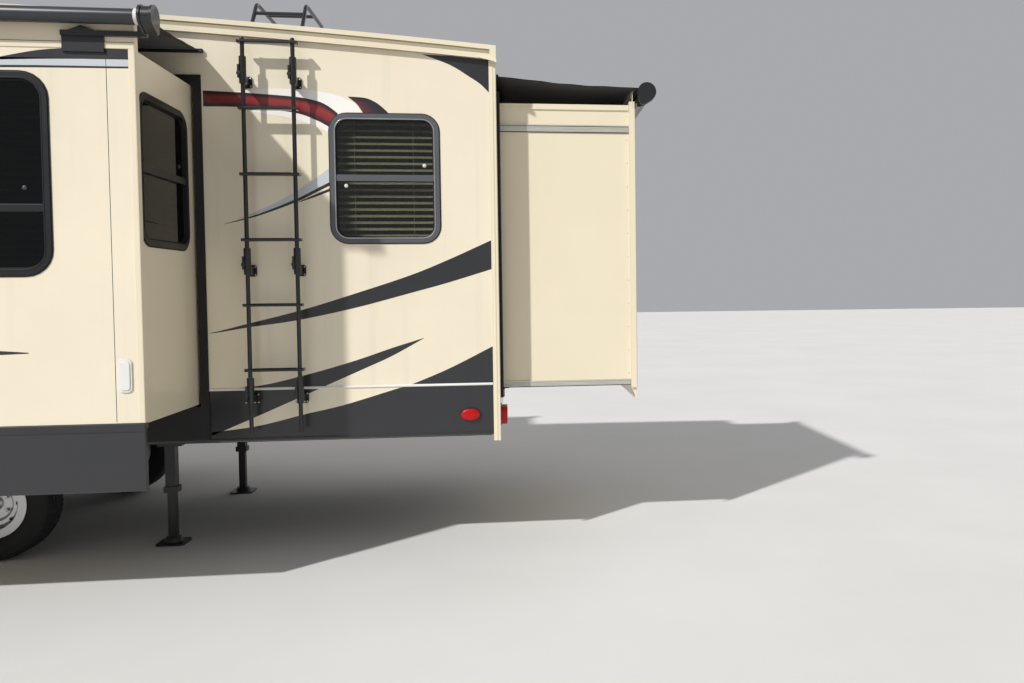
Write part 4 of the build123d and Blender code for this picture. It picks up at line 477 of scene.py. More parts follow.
# %% Finishes for the frame's solids
FINISHES = {
    wall_gelcoat: "left_wall right_wall rear_wall left_hatch right_hatch entry_door",
    face_gelcoat: "left_room_face right_room_face",
    gutter_trim: "gutters",
    trim_cream: "corner_mouldings left_room_shell right_room_shell rear_room_shell "
                "rear_room_face",
    cap_gelcoat: "front_cap",
    roof_membrane: "roof",
    tinted_glass: "window_panes",
    painted_shade_glass: "left_room_panes right_room_panes rear_room_panes entry_pane",
    rubber: "room_seals",
    black_paint: "chassis upper_frame pin_box axles leaf_springs spring_hangers front_legs "
                 "rear_legs entry_steps",
    black_tube: "ladder grab_handle",
    moulded_black: "left_room_topper right_room_topper rear_room_topper door_hinges",
    white_vinyl: "roof_cooler roof_vents patio_awning",
    floor_vinyl: "floor",
    deck_skin: "deck",
    belly_sheet: "belly_pan",
    red_lens: "lamps",
    rim_paint: "rim_left_front rim_left_rear rim_right_front rim_right_rear",
}
dressed = 0
for material, names in FINISHES.items():
    for name in names.split():
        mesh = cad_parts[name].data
        mesh.materials.clear()
        mesh.materials.append(material)
        dressed += 1
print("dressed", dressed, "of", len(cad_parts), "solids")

# %% [markdown]
# ## Vinyl stripes
# The swooshes are cut from vinyl film and stuck to the gelcoat, so each is its own thin sheet
# that stands half a millimetre off the wall. A stripe is given by a few points on its upper
# edge and as many on its lower edge, from one end to the other. A smooth line through the
# points gives both edges, and the strip between them gets a map whose V runs across it and
# whose U runs along it. Stripes that are painted on by a picture would blur close up.

# %% Stripe helper
FILM = 0.0005


def smooth_line(points, steps=10):
    """A smooth line through points: each span is a blend of its two ends' directions."""
    ends = [points[0]] + list(points) + [points[-1]]
    line = []
    for before, start, end, after in zip(ends, ends[1:], ends[2:], ends[3:]):
        for step in range(steps):
            t = step / steps
            weights = (-t**3 + 2 * t**2 - t, 3 * t**3 - 5 * t**2 + 2,
                       -3 * t**3 + 4 * t**2 + t, t**3 - t**2)
            line.append(tuple(sum(w * p[axis] for w, p in zip(weights, (before, start, end, after))) / 2
                              for axis in (0, 1)))
    return line + [tuple(points[-1])]


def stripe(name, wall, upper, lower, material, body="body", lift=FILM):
    """A sheet of film between two edges, with a map whose V runs from the lower one up."""
    top, bottom = smooth_line(upper), smooth_line(lower)
    bm = bmesh.new()
    across = bm.loops.layers.uv.new("across")
    shares = (0, 1 / 3, 2 / 3, 1)
    rows = [[bm.verts.new(at(wall, *(b + (t - b) * share for t, b in zip(high, low)), lift))
             for share in shares] for high, low in zip(top, bottom)]
    for index, (one, two) in enumerate(zip(rows, rows[1:])):
        for step in range(len(shares) - 1):
            corners = ((one, step, 0), (two, step, 1), (two, step + 1, 1), (one, step + 1, 0))
            face = bm.faces.new([row[place] for row, place, _ in corners])
            for loop, (_, place, ahead) in zip(face.loops, corners):
                loop[across].uv = ((index + ahead) / len(rows), shares[place])
    bmesh.ops.remove_doubles(bm, verts=bm.verts, dist=0.0003)
    bmesh.ops.recalc_face_normals(bm, faces=bm.faces)
    bm.faces.ensure_lookup_table()
    if bm.faces[0].normal.dot(WALLS[wall][2]) < 0:
        bmesh.ops.reverse_faces(bm, faces=bm.faces)
    film = linked(bm, name, material)
    back = film.modifiers.new("film", "SOLIDIFY")
    back.thickness = lift * 0.8
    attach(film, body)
    return film


print("a line of 4 points is drawn with", len(smooth_line(((0, 0), (1, 1), (2, 1), (3, 0)))))

# %% [markdown]
# ## Printed film
# The red band is printed darker towards both edges, and the arc behind it towards its upper
# one. A ramp of colours over the map's V gives the shades without a picture, and stays sharp
# at any size. Over the map's U the colour dims towards the stripe's first end, where the rear
# band runs into the room's shade: partly a print that grows out of the dark, partly painted
# shade.

# %% Band and arc
SHADE_FADE_SHARE, SHADE_FADE_START = 0.32, 0.42  # share of a stripe's length where it is dim, and how dim


def printed_film(name, colours):
    """Film whose print runs through colours from its lower edge to its upper one."""
    film = finish(name, colours[0][1], 0.3, Coat_Weight=0.3)
    tree = film.node_tree
    shades = tree.nodes.new("ShaderNodeValToRGB")
    for place, colour in colours:
        stop = shades.color_ramp.elements.new(place) if 0 < place < 1 else \
            shades.color_ramp.elements[-int(place)]
        stop.color = colour_of(colour)
    cross = wire(tree, "ShaderNodeSeparateXYZ", wire(tree, "ShaderNodeUVMap").outputs["UV"])
    tree.links.new(cross.outputs["Y"], shades.inputs["Fac"])
    # The dimming towards the stripe's first end is partly print and partly painted shade.
    dim = tree.nodes.new("ShaderNodeVectorMath")
    dim.operation = "SCALE"
    tree.links.new(shades.outputs["Color"], dim.inputs[0])
    tree.links.new(ranged(tree, cross.outputs["X"], (0, SHADE_FADE_SHARE), (SHADE_FADE_START, 1)), dim.inputs["Scale"])
    tree.links.new(dim.outputs["Vector"], tree.nodes["Principled BSDF"].inputs["Base Color"])
    return film


band_film = printed_film("band_film", ((0.0, "#1C1A1E"), (0.16, "#4A2029"), (0.34, "#832A2D"),
                                       (0.66, "#96302E"), (0.86, "#3E2029"), (1.0, "#1D1B1F")))
arc_film = printed_film("arc_film", ((0.0, "#6A2A2C"), (0.3, "#4B2A30"), (0.6, "#2A282D"),
                                     (1.0, "#222327")))
print("printed films", 2)

# %% [markdown]
# ## The stripes of the rear side walls
# The road side's stripes are taken off the wall at their real places: a dark corner under the
# gutter, a red band that dips behind the window with white film round it, a thin blade, two
# swooshes and the dark foot of the wall. The door side has the same set, as such pairs do, and
# there the stripes run on to its own room, which starts further forward.

# %% Rear side stripes
REAR_STRIPES = {
    "corner": (charcoal_vinyl,
               ((0.445, 2.388), (0.274, 2.38), (0.158, 2.375), (0.090, 2.370), (0.036, 2.366)),
               ((0.440, 2.386), (0.274, 2.325), (0.158, 2.256), (0.090, 2.211), (0.036, 2.158))),
    "band": (band_film,
             ((1.748, 2.141), (1.590, 2.135), (1.428, 2.127), (1.205, 2.111), (1.087, 2.090),
              (1.022, 2.062), (0.960, 2.015)),
             ((1.748, 2.045), (1.590, 2.046), (1.430, 2.040), (1.207, 2.014), (1.090, 1.973),
              (1.013, 1.932), (0.985, 1.915))),
    "band_cap": (white_vinyl,
                 ((1.560, 2.140), (1.427, 2.156), (1.204, 2.160), (1.086, 2.150), (0.973, 2.127),
                  (0.861, 2.080), (0.808, 2.010)),
                 ((1.560, 2.136), (1.427, 2.128), (1.205, 2.112), (1.087, 2.091), (1.022, 2.063),
                  (0.975, 2.030), (0.955, 2.010))),
    "band_foot": (white_vinyl,
                  ((1.540, 2.043), (1.430, 2.038), (1.301, 2.026), (1.207, 2.010), (1.090, 1.970),
                   (0.985, 1.912)),
                  ((1.540, 2.035), (1.430, 2.012), (1.301, 1.994), (1.207, 1.974), (1.090, 1.936),
                   (0.985, 1.880))),
    "second_arc": (arc_film,
                   ((0.896, 2.119), (0.794, 2.112), (0.734, 2.088), (0.693, 2.058), (0.657, 2.022),
                    (0.640, 1.985)),
                   ((0.896, 2.116), (0.860, 2.088), (0.843, 2.072), (0.826, 2.048), (0.808, 2.018),
                    (0.797, 1.985))),
    "blade_light": (grey_vinyl,
                    ((1.560, 1.368), (1.332, 1.470), (1.160, 1.575), (0.990, 1.700)),
                    ((1.560, 1.362), (1.332, 1.440), (1.160, 1.520), (0.990, 1.614))),
    "blade": (charcoal_vinyl,
              ((1.645, 1.336), (1.445, 1.397), (1.219, 1.489), (1.099, 1.551), (0.990, 1.608)),
              ((1.645, 1.334), (1.445, 1.385), (1.219, 1.470), (1.099, 1.530), (0.990, 1.585))),
    "blade_wedge": (charcoal_vinyl,
                    ((1.217, 1.466), (1.110, 1.515), (0.990, 1.566)),
                    ((1.217, 1.464), (1.110, 1.500), (0.990, 1.548))),
    "swoosh": (charcoal_vinyl,
               ((1.748, 0.671), (1.685, 0.684), (1.526, 0.724), (1.199, 0.806), (0.885, 0.902),
                (0.536, 1.017), (0.294, 1.116), (0.032, 1.235)),
               ((1.748, 0.669), (1.685, 0.676), (1.505, 0.705), (1.233, 0.742), (0.885, 0.814),
                (0.538, 0.905), (0.296, 0.971), (0.032, 1.052))),
    "second_swoosh": (charcoal_vinyl,
                      ((0.464, 0.621), (0.661, 0.561), (0.893, 0.484), (1.184, 0.403),
                       (1.471, 0.341), (1.748, 0.325)),
                      ((0.464, 0.619), (0.662, 0.511), (0.837, 0.433), (1.100, 0.318),
                       (1.475, 0.155), (1.748, 0.040))),
    "foot": (charcoal_vinyl,
             ((1.748, 0.062), (1.477, 0.093), (1.189, 0.160), (0.960, 0.210), (0.641, 0.303),
              (0.548, 0.329), (0.305, 0.428), (0.032, 0.564)),
             ((1.748, 0.001), (1.477, 0.001), (1.189, 0.001), (0.960, 0.001), (0.641, 0.001),
              (0.548, 0.001), (0.305, 0.001), (0.032, 0.001))),
}
ROOM_START = {"left": 1.748, "right": 2.300}


def run_on(points, side):
    """Moves the points that lie at the road-side room's edge to the edge of a side's own room."""
    return [(ROOM_START[side] if along == ROOM_START["left"] else along, up) for along, up in points]


for side in ("left", "right"):
    for name, (film, upper, lower) in REAR_STRIPES.items():
        stripe(f"{side}_{name}_film", side, run_on(upper, side), run_on(lower, side), film)
print("rear stripes", 2 * len(REAR_STRIPES))

# %% [markdown]
# ## Windows
# A caravan window is a clamped frame with glass that sits back in it. From outside one sees a
# rubber gasket round the frame, a slim bead that holds the glass, a bar across where the pane
# slides, and behind it a slatted blind in front of a dark curtain. All windows are alike but
# for size, colour and the height of the bar, so one table holds them.

# %% Window sizes
SIDE_WINDOW_UP, END_WINDOW_UP, FACE_WINDOW_UP = 1.616, 1.571, 1.523
# Columns: name, wall, along, up, width, height, corner radius, body
WINDOWS = (
    ("rear_left", "left", 0.681, SIDE_WINDOW_UP, 0.663, 0.798, 0.105, "body"),
    ("rear_right", "right", 0.681, SIDE_WINDOW_UP, 0.663, 0.798, 0.105, "body"),
    ("bed_left", "left", 7.95, 1.81, 0.76, 0.44, 0.09, "body"),
    ("bed_right", "right", 7.95, 1.81, 0.76, 0.44, 0.09, "body"),
    ("face_left_rear", "left_face", 2.675, FACE_WINDOW_UP, 0.912, 1.026, 0.13, "left_room"),
    ("face_left_front", "left_face", 4.5, FACE_WINDOW_UP, 0.912, 1.026, 0.13, "left_room"),
    ("face_right", "right_face", 3.8, FACE_WINDOW_UP, 1.4, 1.026, 0.13, "right_room"),
    ("face_rear", "rear_face", 0.0, 1.5, 1.42, 0.9, 0.13, "rear_room"),
    ("end_left", "left_end", 0.44, END_WINDOW_UP, 0.7, 0.806, 0.105, "left_room"),
    ("end_right", "right_end", 0.44, END_WINDOW_UP, 0.7, 0.806, 0.105, "right_room"),
    ("entry", "right", 5.98, 1.48, 0.42, 0.7, 0.09, "entry_door"),
)
FRAME_WIDTH, FRAME_SEAT, FRAME_LIP, GLASS_BACK = 0.034, 0.0223, 0.008, 0.014
GASKET = 0.006  # how far the rubber shows round the frame
BAR_HALF, BAR_SHARE, LOW_BAR_SHARE = 0.020, 0.505, 0.335


def grown(along, up, width, height, radius, by):
    """A window's outline, larger by a distance all round."""
    return rounded(along, up, width + 2 * by, height + 2 * by, radius + by)


def bar_height(name, up, height):
    """Where a window's bar lies; the rooms' faces have theirs low down."""
    return up + ((LOW_BAR_SHARE if name.startswith("face_") else BAR_SHARE) - 0.5) * height


print("windows", len(WINDOWS))

# %% [markdown]
# ## Window frames
# The frame is pressed from one strip, so all its edges are a little round. Here each of the
# solids that hold the frames is replaced by such a soft one: a lip that lies on the wall, a
# seat behind it for the glass, and the bar. Frames in the walls are grey with a bright bead,
# the grey being their black paint lightened as painted sunlight, and those in the rooms and
# the door are black all over.

# %% Frames, gaskets and beads
FRAME_NODES = {"body": "window_frames", "left_room": "left_room_window_frames",
               "right_room": "right_room_window_frames", "rear_room": "rear_room_window_frames",
               "entry_door": "entry_window_frame"}
frames = {body: bmesh.new() for body in FRAME_NODES}
for name, wall, *shape, body in WINDOWS:
    along, up, width, height, _ = shape
    clear, glass = grown(*shape, -FRAME_WIDTH), -GLASS_BACK
    hoop(frames[body], wall, grown(*shape, 0), clear, -0.001, FRAME_LIP)
    hoop(frames[body], wall, grown(*shape, -FRAME_SEAT), clear, glass - 0.005, -0.001)
    middle, reach = bar_height(name, up, height), width / 2 - FRAME_WIDTH + 0.001
    bar(frames[body], wall, (along - reach, along + reach), (middle - BAR_HALF, middle + BAR_HALF),
        (glass + 0.0002, FRAME_LIP / 2))
    gasket = bmesh.new()
    hoop(gasket, wall, grown(*shape, GASKET), grown(*shape, 0.0005), 0.0004, 0.004)
    hoop(gasket, wall, grown(*shape, -FRAME_WIDTH - 0.0002), grown(*shape, -FRAME_WIDTH - 0.009),
         glass + 0.0002, glass + 0.003)
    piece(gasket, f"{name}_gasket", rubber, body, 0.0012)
    bead = bmesh.new()
    hoop(bead, wall, grown(*shape, 0.006 - FRAME_WIDTH), clear, FRAME_LIP, FRAME_LIP + 0.002)
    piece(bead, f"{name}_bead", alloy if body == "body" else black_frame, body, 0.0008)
for body, node in FRAME_NODES.items():
    ring = piece(frames[body], f"{node}_soft", sunlit_frame_paint if body == "body" else black_frame, body,
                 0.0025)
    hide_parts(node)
print("frames", len(FRAME_NODES), "for", len(WINDOWS), "windows")

# %% [markdown]
# ## Blinds, shade sheets and latches
# A blind is a head rail with slats below it, each a slightly crowned strip that is tilted, and
# two cords. Behind it hangs a nearly black sheet in even folds, painted shade of the inside,
# dark enough to hide that nothing is there. On the glass sit two small round latches, one for
# each sliding half.

# %% Slats, folds and latches
BLIND_BACK = 0.075  # the blind hangs this far behind the wall's surface
SLAT_STEP, SLAT_HALF, SLAT_CROWN, SLAT_TILT = 0.041, 0.021, 0.004, math.radians(-27)
blind_slat = finish("blind_slat", "#E2DCC4", 0.5, patch=9, spread=0.10, grain=300)
painted_shade_sheet = finish("painted_shade_sheet", "#15140F", 0.95, patch=4, spread=0.3, grain=900, relief=0.0002)
latch_plastic = finish("latch_plastic", "#D9D8D2", 0.4)
dark_latch = finish("dark_latch", "#3A3C3E", 0.4)


def slat_section(middle):
    """One crowned and tilted slat, seen from its end."""
    section = []
    for face in (1, -1):
        for share in (-1, -0.5, 0, 0.5, 1):
            reach = SLAT_HALF * share * face
            crown = SLAT_CROWN * (1 - share**2) + 0.0007 * face
            section.append((middle + reach * math.sin(SLAT_TILT) + crown * math.cos(SLAT_TILT),
                            -BLIND_BACK + reach * math.cos(SLAT_TILT) - crown * math.sin(SLAT_TILT)))
    return section


slats = 0
for name, wall, along, up, width, height, _, body in WINDOWS:
    low, high = up - height / 2 - 0.02, up + height / 2 + 0.03
    left, right = along - width / 2 + 0.045, along + width / 2 - 0.02
    blind = bmesh.new()
    bar(blind, wall, (left, right), (high - 0.045, high), (-BLIND_BACK - 0.025, -BLIND_BACK + 0.02))
    count = int((high - 0.06 - low) / SLAT_STEP)
    for slat in range(count):
        strip(blind, wall, slat_section(high - 0.08 - slat * SLAT_STEP), (left, right))
    slats += count
    for share in (0.2, 0.8):
        place = left + (right - left) * share
        bar(blind, wall, (place - 0.001, place + 0.001), (low, high - 0.04),
            (-BLIND_BACK + SLAT_HALF, -BLIND_BACK + SLAT_HALF + 0.001))
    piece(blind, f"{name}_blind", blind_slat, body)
    # A nearly black sheet behind the blind: painted shade of the inside.
    shade_sheet = bmesh.new()
    folds = [(left + (right - left) * step / 60, -BLIND_BACK - 0.045 + 0.006 * math.sin(step * 1.1))
             for step in range(61)]
    upright(shade_sheet, wall, folds + [(a, out - 0.001) for a, out in reversed(folds)], (low, high))
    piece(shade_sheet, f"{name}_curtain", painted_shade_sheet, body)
    latches = bmesh.new()
    for side, rise in ((0.36, 0.1), (-0.36, -0.06)):
        knob = at(wall, along - side * width, bar_height(name, up, height) + rise * height,
                  -GLASS_BACK + 0.0003)
        turned(latches, knob, WALLS[wall][2], ((0, 0.012), (0.004, 0.012), (0.008, 0.008), (0.009, 0.003)))
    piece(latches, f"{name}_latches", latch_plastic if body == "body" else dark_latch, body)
print("slats", slats)

# %% [markdown]
# ## Rails of the walls
# Where the side panel meets the dark skirt, a light rail covers the joint, and a dark one
# trims the walls' lower edge. Such trim is bought by the length and cut, so one section is
# drawn out along each wall, with gaps for the rooms, the door and the hatches.

# %% Skirt rails
def rail_section(up, depth=0.007, height=0.016):
    """A low crowned rail, seen from its end."""
    return ((up - height / 2, 0.0003), (up - height / 2, depth * 0.6), (up - height / 5, depth),
            (up + height / 4, depth * 0.8), (up + height / 2, depth * 0.4), (up + height / 2, 0.0003))


light_trim = finish("light_trim", "#E4E3DE", 0.3, grain=500, Coat_Weight=0.2)
ROOM_SPANS = {"left": (1.757, 5.563), "right": (2.337, 5.263)}
ENTRY_SPAN, HATCH_LEFT, HATCH_RIGHT = (5.64, 6.32), (5.76, 6.76), (6.56, 6.95)
DROP_WALL = 6.998
RAIL_SPANS = {
    "left": ((0.038, ROOM_SPANS["left"][0]), (ROOM_SPANS["left"][1], HATCH_LEFT[0] - 0.03),
             (HATCH_LEFT[1] + 0.03, DROP_WALL)),
    "right": ((0.038, ROOM_SPANS["right"][0]), (ROOM_SPANS["right"][1], ENTRY_SPAN[0] - 0.035),
              (ENTRY_SPAN[1] + 0.035, HATCH_RIGHT[0] - 0.03)),
}
for wall, spans in RAIL_SPANS.items():
    rails, feet = bmesh.new(), bmesh.new()
    for span in spans:
        strip(rails, wall, rail_section(SKIRT_UP), span)
        strip(feet, wall, rail_section(0.012, 0.004, 0.02), span)
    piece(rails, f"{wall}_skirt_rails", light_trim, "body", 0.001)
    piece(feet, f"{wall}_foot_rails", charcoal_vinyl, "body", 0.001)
for name, wall, spans in (("left_hatch", "left", HATCH_LEFT), ("right_hatch", "right", HATCH_RIGHT)):
    rails = bmesh.new()
    strip(rails, wall, rail_section(SKIRT_UP), (spans[0] + 0.04, spans[1] - 0.04))
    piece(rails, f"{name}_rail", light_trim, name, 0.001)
print("skirt rail pieces", len(RAIL_SPANS), "and two on the hatches")

# %% [markdown]
# ## Corners and gutter ends
# The corners have mouldings with a strip of vinyl pressed in over the screws, and it is drawn
# out upwards. The gutter ends at the rear in a small spout that throws the water clear of the
# wall. A spout grows as it goes out, so it is laid through four outlines instead.

# %% Corner inserts and gutter spouts
CORNER_OUT, CORNER_LOW, CORNER_TOP = 0.0054, -0.038, 2.356
SPOUT_UP = (2.360, 2.444)
# Columns: along, lower and upper edge, near and far from the wall
SPOUT_RINGS = ((0.100, 2.368, 2.384, 0.0315, 0.036), (0.040, 2.354, 2.376, 0.0315, 0.042),
               (0.010, 2.345, 2.372, 0.0315, 0.046), (-0.014, 2.334, 2.358, 0.0315, 0.048))


def insert_section(middle):
    """The round vinyl strip of a corner moulding, seen from above."""
    half = ((-0.007, 0.0), (-0.006, 0.002), (0.0, 0.0032), (0.006, 0.002), (0.007, 0.0))
    return [(middle + along, CORNER_OUT + out) for along, out in half]


inserts, spouts = bmesh.new(), bmesh.new()
for wall in ("left", "right"):
    upright(inserts, wall, insert_section(0.017), (CORNER_LOW, CORNER_TOP))
    close_rings(spouts, [[at(wall, along, up, out)
                          for up, out in ((low, near), (low, far), (high, far), (high, near))]
                         for along, low, high, near, far in SPOUT_RINGS], False)
    bar(spouts, wall, (-0.0115, -0.0082), SPOUT_UP, (0.001, 0.0325))
    bar(spouts, wall, (-0.0115, 0.028), SPOUT_UP, (0.0312, 0.0345))
for side in (1, -1):
    upright(inserts, "rear", insert_section(side * (SIDE_Y - 0.018)), (CORNER_LOW, CORNER_TOP))
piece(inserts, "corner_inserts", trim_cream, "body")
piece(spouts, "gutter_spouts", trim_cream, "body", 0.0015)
print("corner inserts", 4, "spouts", 2)

# %% [markdown]
# ## Trim of the side rooms
# Each room's face overlaps its opening and is edged with a folded angle. The side rooms'
# faces carry a cream fascia above, a dark skirt below and stripes of their own. Both rooms
# are dressed in one loop from the same numbers, measured from each face's own edges, and the
# pieces ride on the rooms and slide in with them.

# %% Edging and stripes of the side rooms' faces
ROOM_LOW, ROOM_HIGH, FASCIA_HIGH = 0.215, 2.190, 2.300
SIDE_FACES = {"left_room": ("left_face", (1.800, 5.520)), "right_room": ("right_face", (2.380, 5.220))}
# Each stripe's edges as (along, up): along runs from the face's rear edge, or if it is
# negative, back from its front edge
FACE_STRIPES = {
    "silver_band": (grey_vinyl, ((0.03, 2.104), (1.2, 2.09), (-0.03, 1.93)),
                    ((0.03, 2.072), (1.2, 2.05), (-0.03, 1.905))),
    "band_line": (charcoal_vinyl, ((0.03, 2.071), (1.2, 2.049), (-0.03, 1.904)),
                  ((0.03, 2.062), (1.2, 2.036), (-0.03, 1.89))),
    "dark_top": (charcoal_vinyl, ((0.03, 2.158), (0.25, 2.158), (0.45, 2.146), (0.7, 2.093)),
                 ((0.03, 2.106), (0.25, 2.105), (0.45, 2.101), (0.7, 2.091))),
    "swoosh": (charcoal_vinyl, ((0.55, 0.62), (1.4, 0.70), (2.3, 0.86), (-0.03, 1.16)),
               ((0.55, 0.615), (1.4, 0.60), (2.3, 0.68), (-0.03, 0.86))),
}
SEAM_IN, SEAM_HALF = 0.137, 0.0012
SKIRT_LIP = 0.033  # how far the skirt's edging reaches above the room's lower edge


def on_face(points, start, end):
    return [((end if along < 0 else start) + along, up) for along, up in points]


for body, (wall, (start, end)) in SIDE_FACES.items():
    edging = bmesh.new()
    for edge, inward in ((start, 1), (end, -1)):
        for section, top in ((((0, 0.0002), (0, 0.004), (0.026, 0.004), (0.028, 0.0002)), ROOM_HIGH),
                             (((-0.003, -0.040), (-0.003, 0.004), (0, 0.004), (0, -0.040)), FASCIA_HIGH)):
            upright(edging, wall, [(edge + inward * a, out) for a, out in section],
                    (ROOM_LOW + SKIRT_LIP, top))
    bar(edging, wall, (start, end), (ROOM_HIGH - 0.03, ROOM_HIGH), (0.0002, 0.005))
    bar(edging, wall, (start, end), (ROOM_HIGH, FASCIA_HIGH), (-0.004, -0.0002))
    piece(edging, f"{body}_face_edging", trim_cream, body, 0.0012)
    skirt = bmesh.new()
    strip(skirt, wall, ((ROOM_LOW - 0.012, 0.0002), (ROOM_LOW - 0.012, 0.006),
                        (ROOM_LOW + SKIRT_LIP - 0.005, 0.006), (ROOM_LOW + SKIRT_LIP, 0.0002)), (start, end))
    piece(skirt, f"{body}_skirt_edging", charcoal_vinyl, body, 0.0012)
    for name, (film, upper, lower) in FACE_STRIPES.items():
        stripe(f"{body}_{name}", wall, on_face(upper, start, end), on_face(lower, start, end), film, body)
    seams = bmesh.new()
    for place in (start + SEAM_IN, end - SEAM_IN):
        bar(seams, wall, (place - SEAM_HALF, place + SEAM_HALF), (ROOM_LOW + 0.04, ROOM_HIGH - 0.035),
            (0.0001, 0.0008))
    bar(seams, wall, (start, end), (ROOM_HIGH, ROOM_HIGH + 0.003), (0.0, 0.0012))
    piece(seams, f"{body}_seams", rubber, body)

PORT = (1.890, 0.4925)
port = bmesh.new()
panel(port, "left_face", rounded(*PORT, 0.070, 0.173, 0.024), 0.0003, 0.008)
panel(port, "left_face", rounded(*PORT, 0.052, 0.150, 0.018), 0.008, 0.013)
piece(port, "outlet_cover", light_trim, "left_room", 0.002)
print("side rooms trimmed", len(SIDE_FACES))

# %% [markdown]
# ## Trim of the rear room
# The rear room's sides have ribbed aluminium strips near the top and along the bottom, with a
# riveted angle down the outer corner. The ribs are part of the strip's section, since a
# relief in the finish alone would have no true edge to catch the light. Only the rubber bulbs
# at both sides of the rear opening stay on the body.

# %% Ribbed strips and corners of the rear room
silver_strip = finish("silver_strip", "#D2D0C6", 0.36, patch=4, grain=900, stretch=(1, 1, 8),
                      Metallic=0.55)
REAR_SIDES = ("rear_left", "rear_right")
REAR_OUT = 0.915  # how far the rear room's side reaches from the wall
STRIP_SPAN = (0.012, REAR_OUT - 0.045)
STRIP_UPS = ((1.953, 1.999), (0.279, 0.316))


def ribbed_section(low, high):
    """A pressed strip with three ribs and a stepped upper edge, seen from its end."""
    profile = [(low, 0.0004), (low, 0.006)]
    for rib in range(3):
        foot = low + 0.006 + rib * 0.009
        profile += [(foot, 0.006), (foot + 0.003, 0.009), (foot + 0.006, 0.006)]
    return profile + [(high - 0.008, 0.006), (high - 0.007, 0.009), (high, 0.009), (high, 0.0004)]


for wall in REAR_SIDES:
    ribbed, shade_lines, angle = bmesh.new(), bmesh.new(), bmesh.new()
    for low, high in STRIP_UPS:
        strip(ribbed, wall, ribbed_section(low, high), STRIP_SPAN)
        # Dark bars along each strip's lower edge and under its lip: partly joint gaps, partly painted shade.
        for up in (low - 0.004, high - 0.011):
            bar(shade_lines, wall, STRIP_SPAN, (up, up + 0.005), (0.0003, 0.0064))
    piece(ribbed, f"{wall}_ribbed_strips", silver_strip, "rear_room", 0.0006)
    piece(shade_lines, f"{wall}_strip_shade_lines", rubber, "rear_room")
    for low, high, depth in ((2.098, 2.110, 0.009), (2.110, 2.134, 0.005)):
        bar(angle, wall, (STRIP_SPAN[0], REAR_OUT - 0.044), (low, high), (0.0003, depth))
    upright(angle, wall, ((REAR_OUT - 0.043, 0.0003), (REAR_OUT - 0.043, 0.004), (REAR_OUT - 0.0405, 0.020),
                          (REAR_OUT - 0.0405, 0.0003)), (0.270, 2.130))
    panel(angle, wall, ((REAR_OUT - 0.039, 0.259), (REAR_OUT - 0.004, 0.259), (REAR_OUT - 0.004, 0.180)),
          -0.004, 0.004)
    for step in range(12):
        rivet = at(wall, REAR_OUT - 0.057, 0.36 + step * 0.155, 0.0003)
        turned(angle, rivet, WALLS[wall][2], ((0, 0.006), (0.002, 0.0055), (0.0034, 0.0025)), 12)
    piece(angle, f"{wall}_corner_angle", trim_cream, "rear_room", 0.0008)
fascia, bulbs = bmesh.new(), bmesh.new()
bar(fascia, "rear_face", (-1.039, 1.039), (2.155, 2.224), (-0.020, -0.016))
bar(fascia, "rear_face", (-0.96, 0.96), (0.180, 0.260), (-0.008, -0.004))
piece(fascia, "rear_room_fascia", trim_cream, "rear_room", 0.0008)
BULB_SECTION = ((1.052, 0.0100), (1.052, 0.020), (1.056, 0.0255), (1.064, 0.027), (1.072, 0.0255),
                (1.076, 0.020), (1.076, 0.0100))
for side in (-1, 1):
    upright(bulbs, "rear", [(side * along, out) for along, out in BULB_SECTION], (0.217, 2.198))
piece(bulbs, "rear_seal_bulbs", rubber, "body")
print("rear room trimmed on", len(REAR_SIDES), "sides")

# %% [markdown]
# ## Topper cloths
# Over each room a strip of coated cloth runs from a rail on the wall to a sprung roller on the
# room, and keeps leaves off its roof. The cloth hangs a little between the two and its edges
# ripple. A cloth simulation would find such a shape too, but slowly, and its edges are hard
# to hold to rail and roller. So it is one grid of points: a straight slope, less a sag that
# is nought and level at both, plus a ripple near the cloth's ends.

# %% A sagging sheet
# The wound roll is the same black cloth as the sheet, painted a lighter blue-grey as painted sheen.
rolled_cloth_painted_sheen = finish("rolled_cloth_painted_sheen", "#2F3236", 0.34, spread=0.15, grain=1500, relief=0.00003)
topper_cloth = finish("topper_cloth", "#17181A", 0.6, patch=7, spread=0.25, grain=1500,
                      relief=0.00006, Sheen_Weight=0.15)
ROLLER_OUT, ROLLER_RADIUS, RAIL_OUT = 0.062, 0.038, 0.0223
CLOTH_GAP = 0.0015
SAG = 0.012
EDGE_ZONE, EDGE_RIPPLE = 0.25, 0.002  # how far from its ends a cloth ripples, and how much
# Columns: room, wall, reach, height at the rail, roller's height, joint
TOPPERS = (
    ("left_room", "left", 0.860, 2.378, 2.305, "left_room_slide"),
    ("right_room", "right", 0.860, 2.378, 2.305, "right_room_slide"),
    ("rear_room", "rear", 0.915, 2.293, 2.195, "rear_room_slide"),
)
COLLAR = 0.024  # length of the pale collars at both ends of a roller
ALONG_STEPS, OUT_STEPS = 90, 24


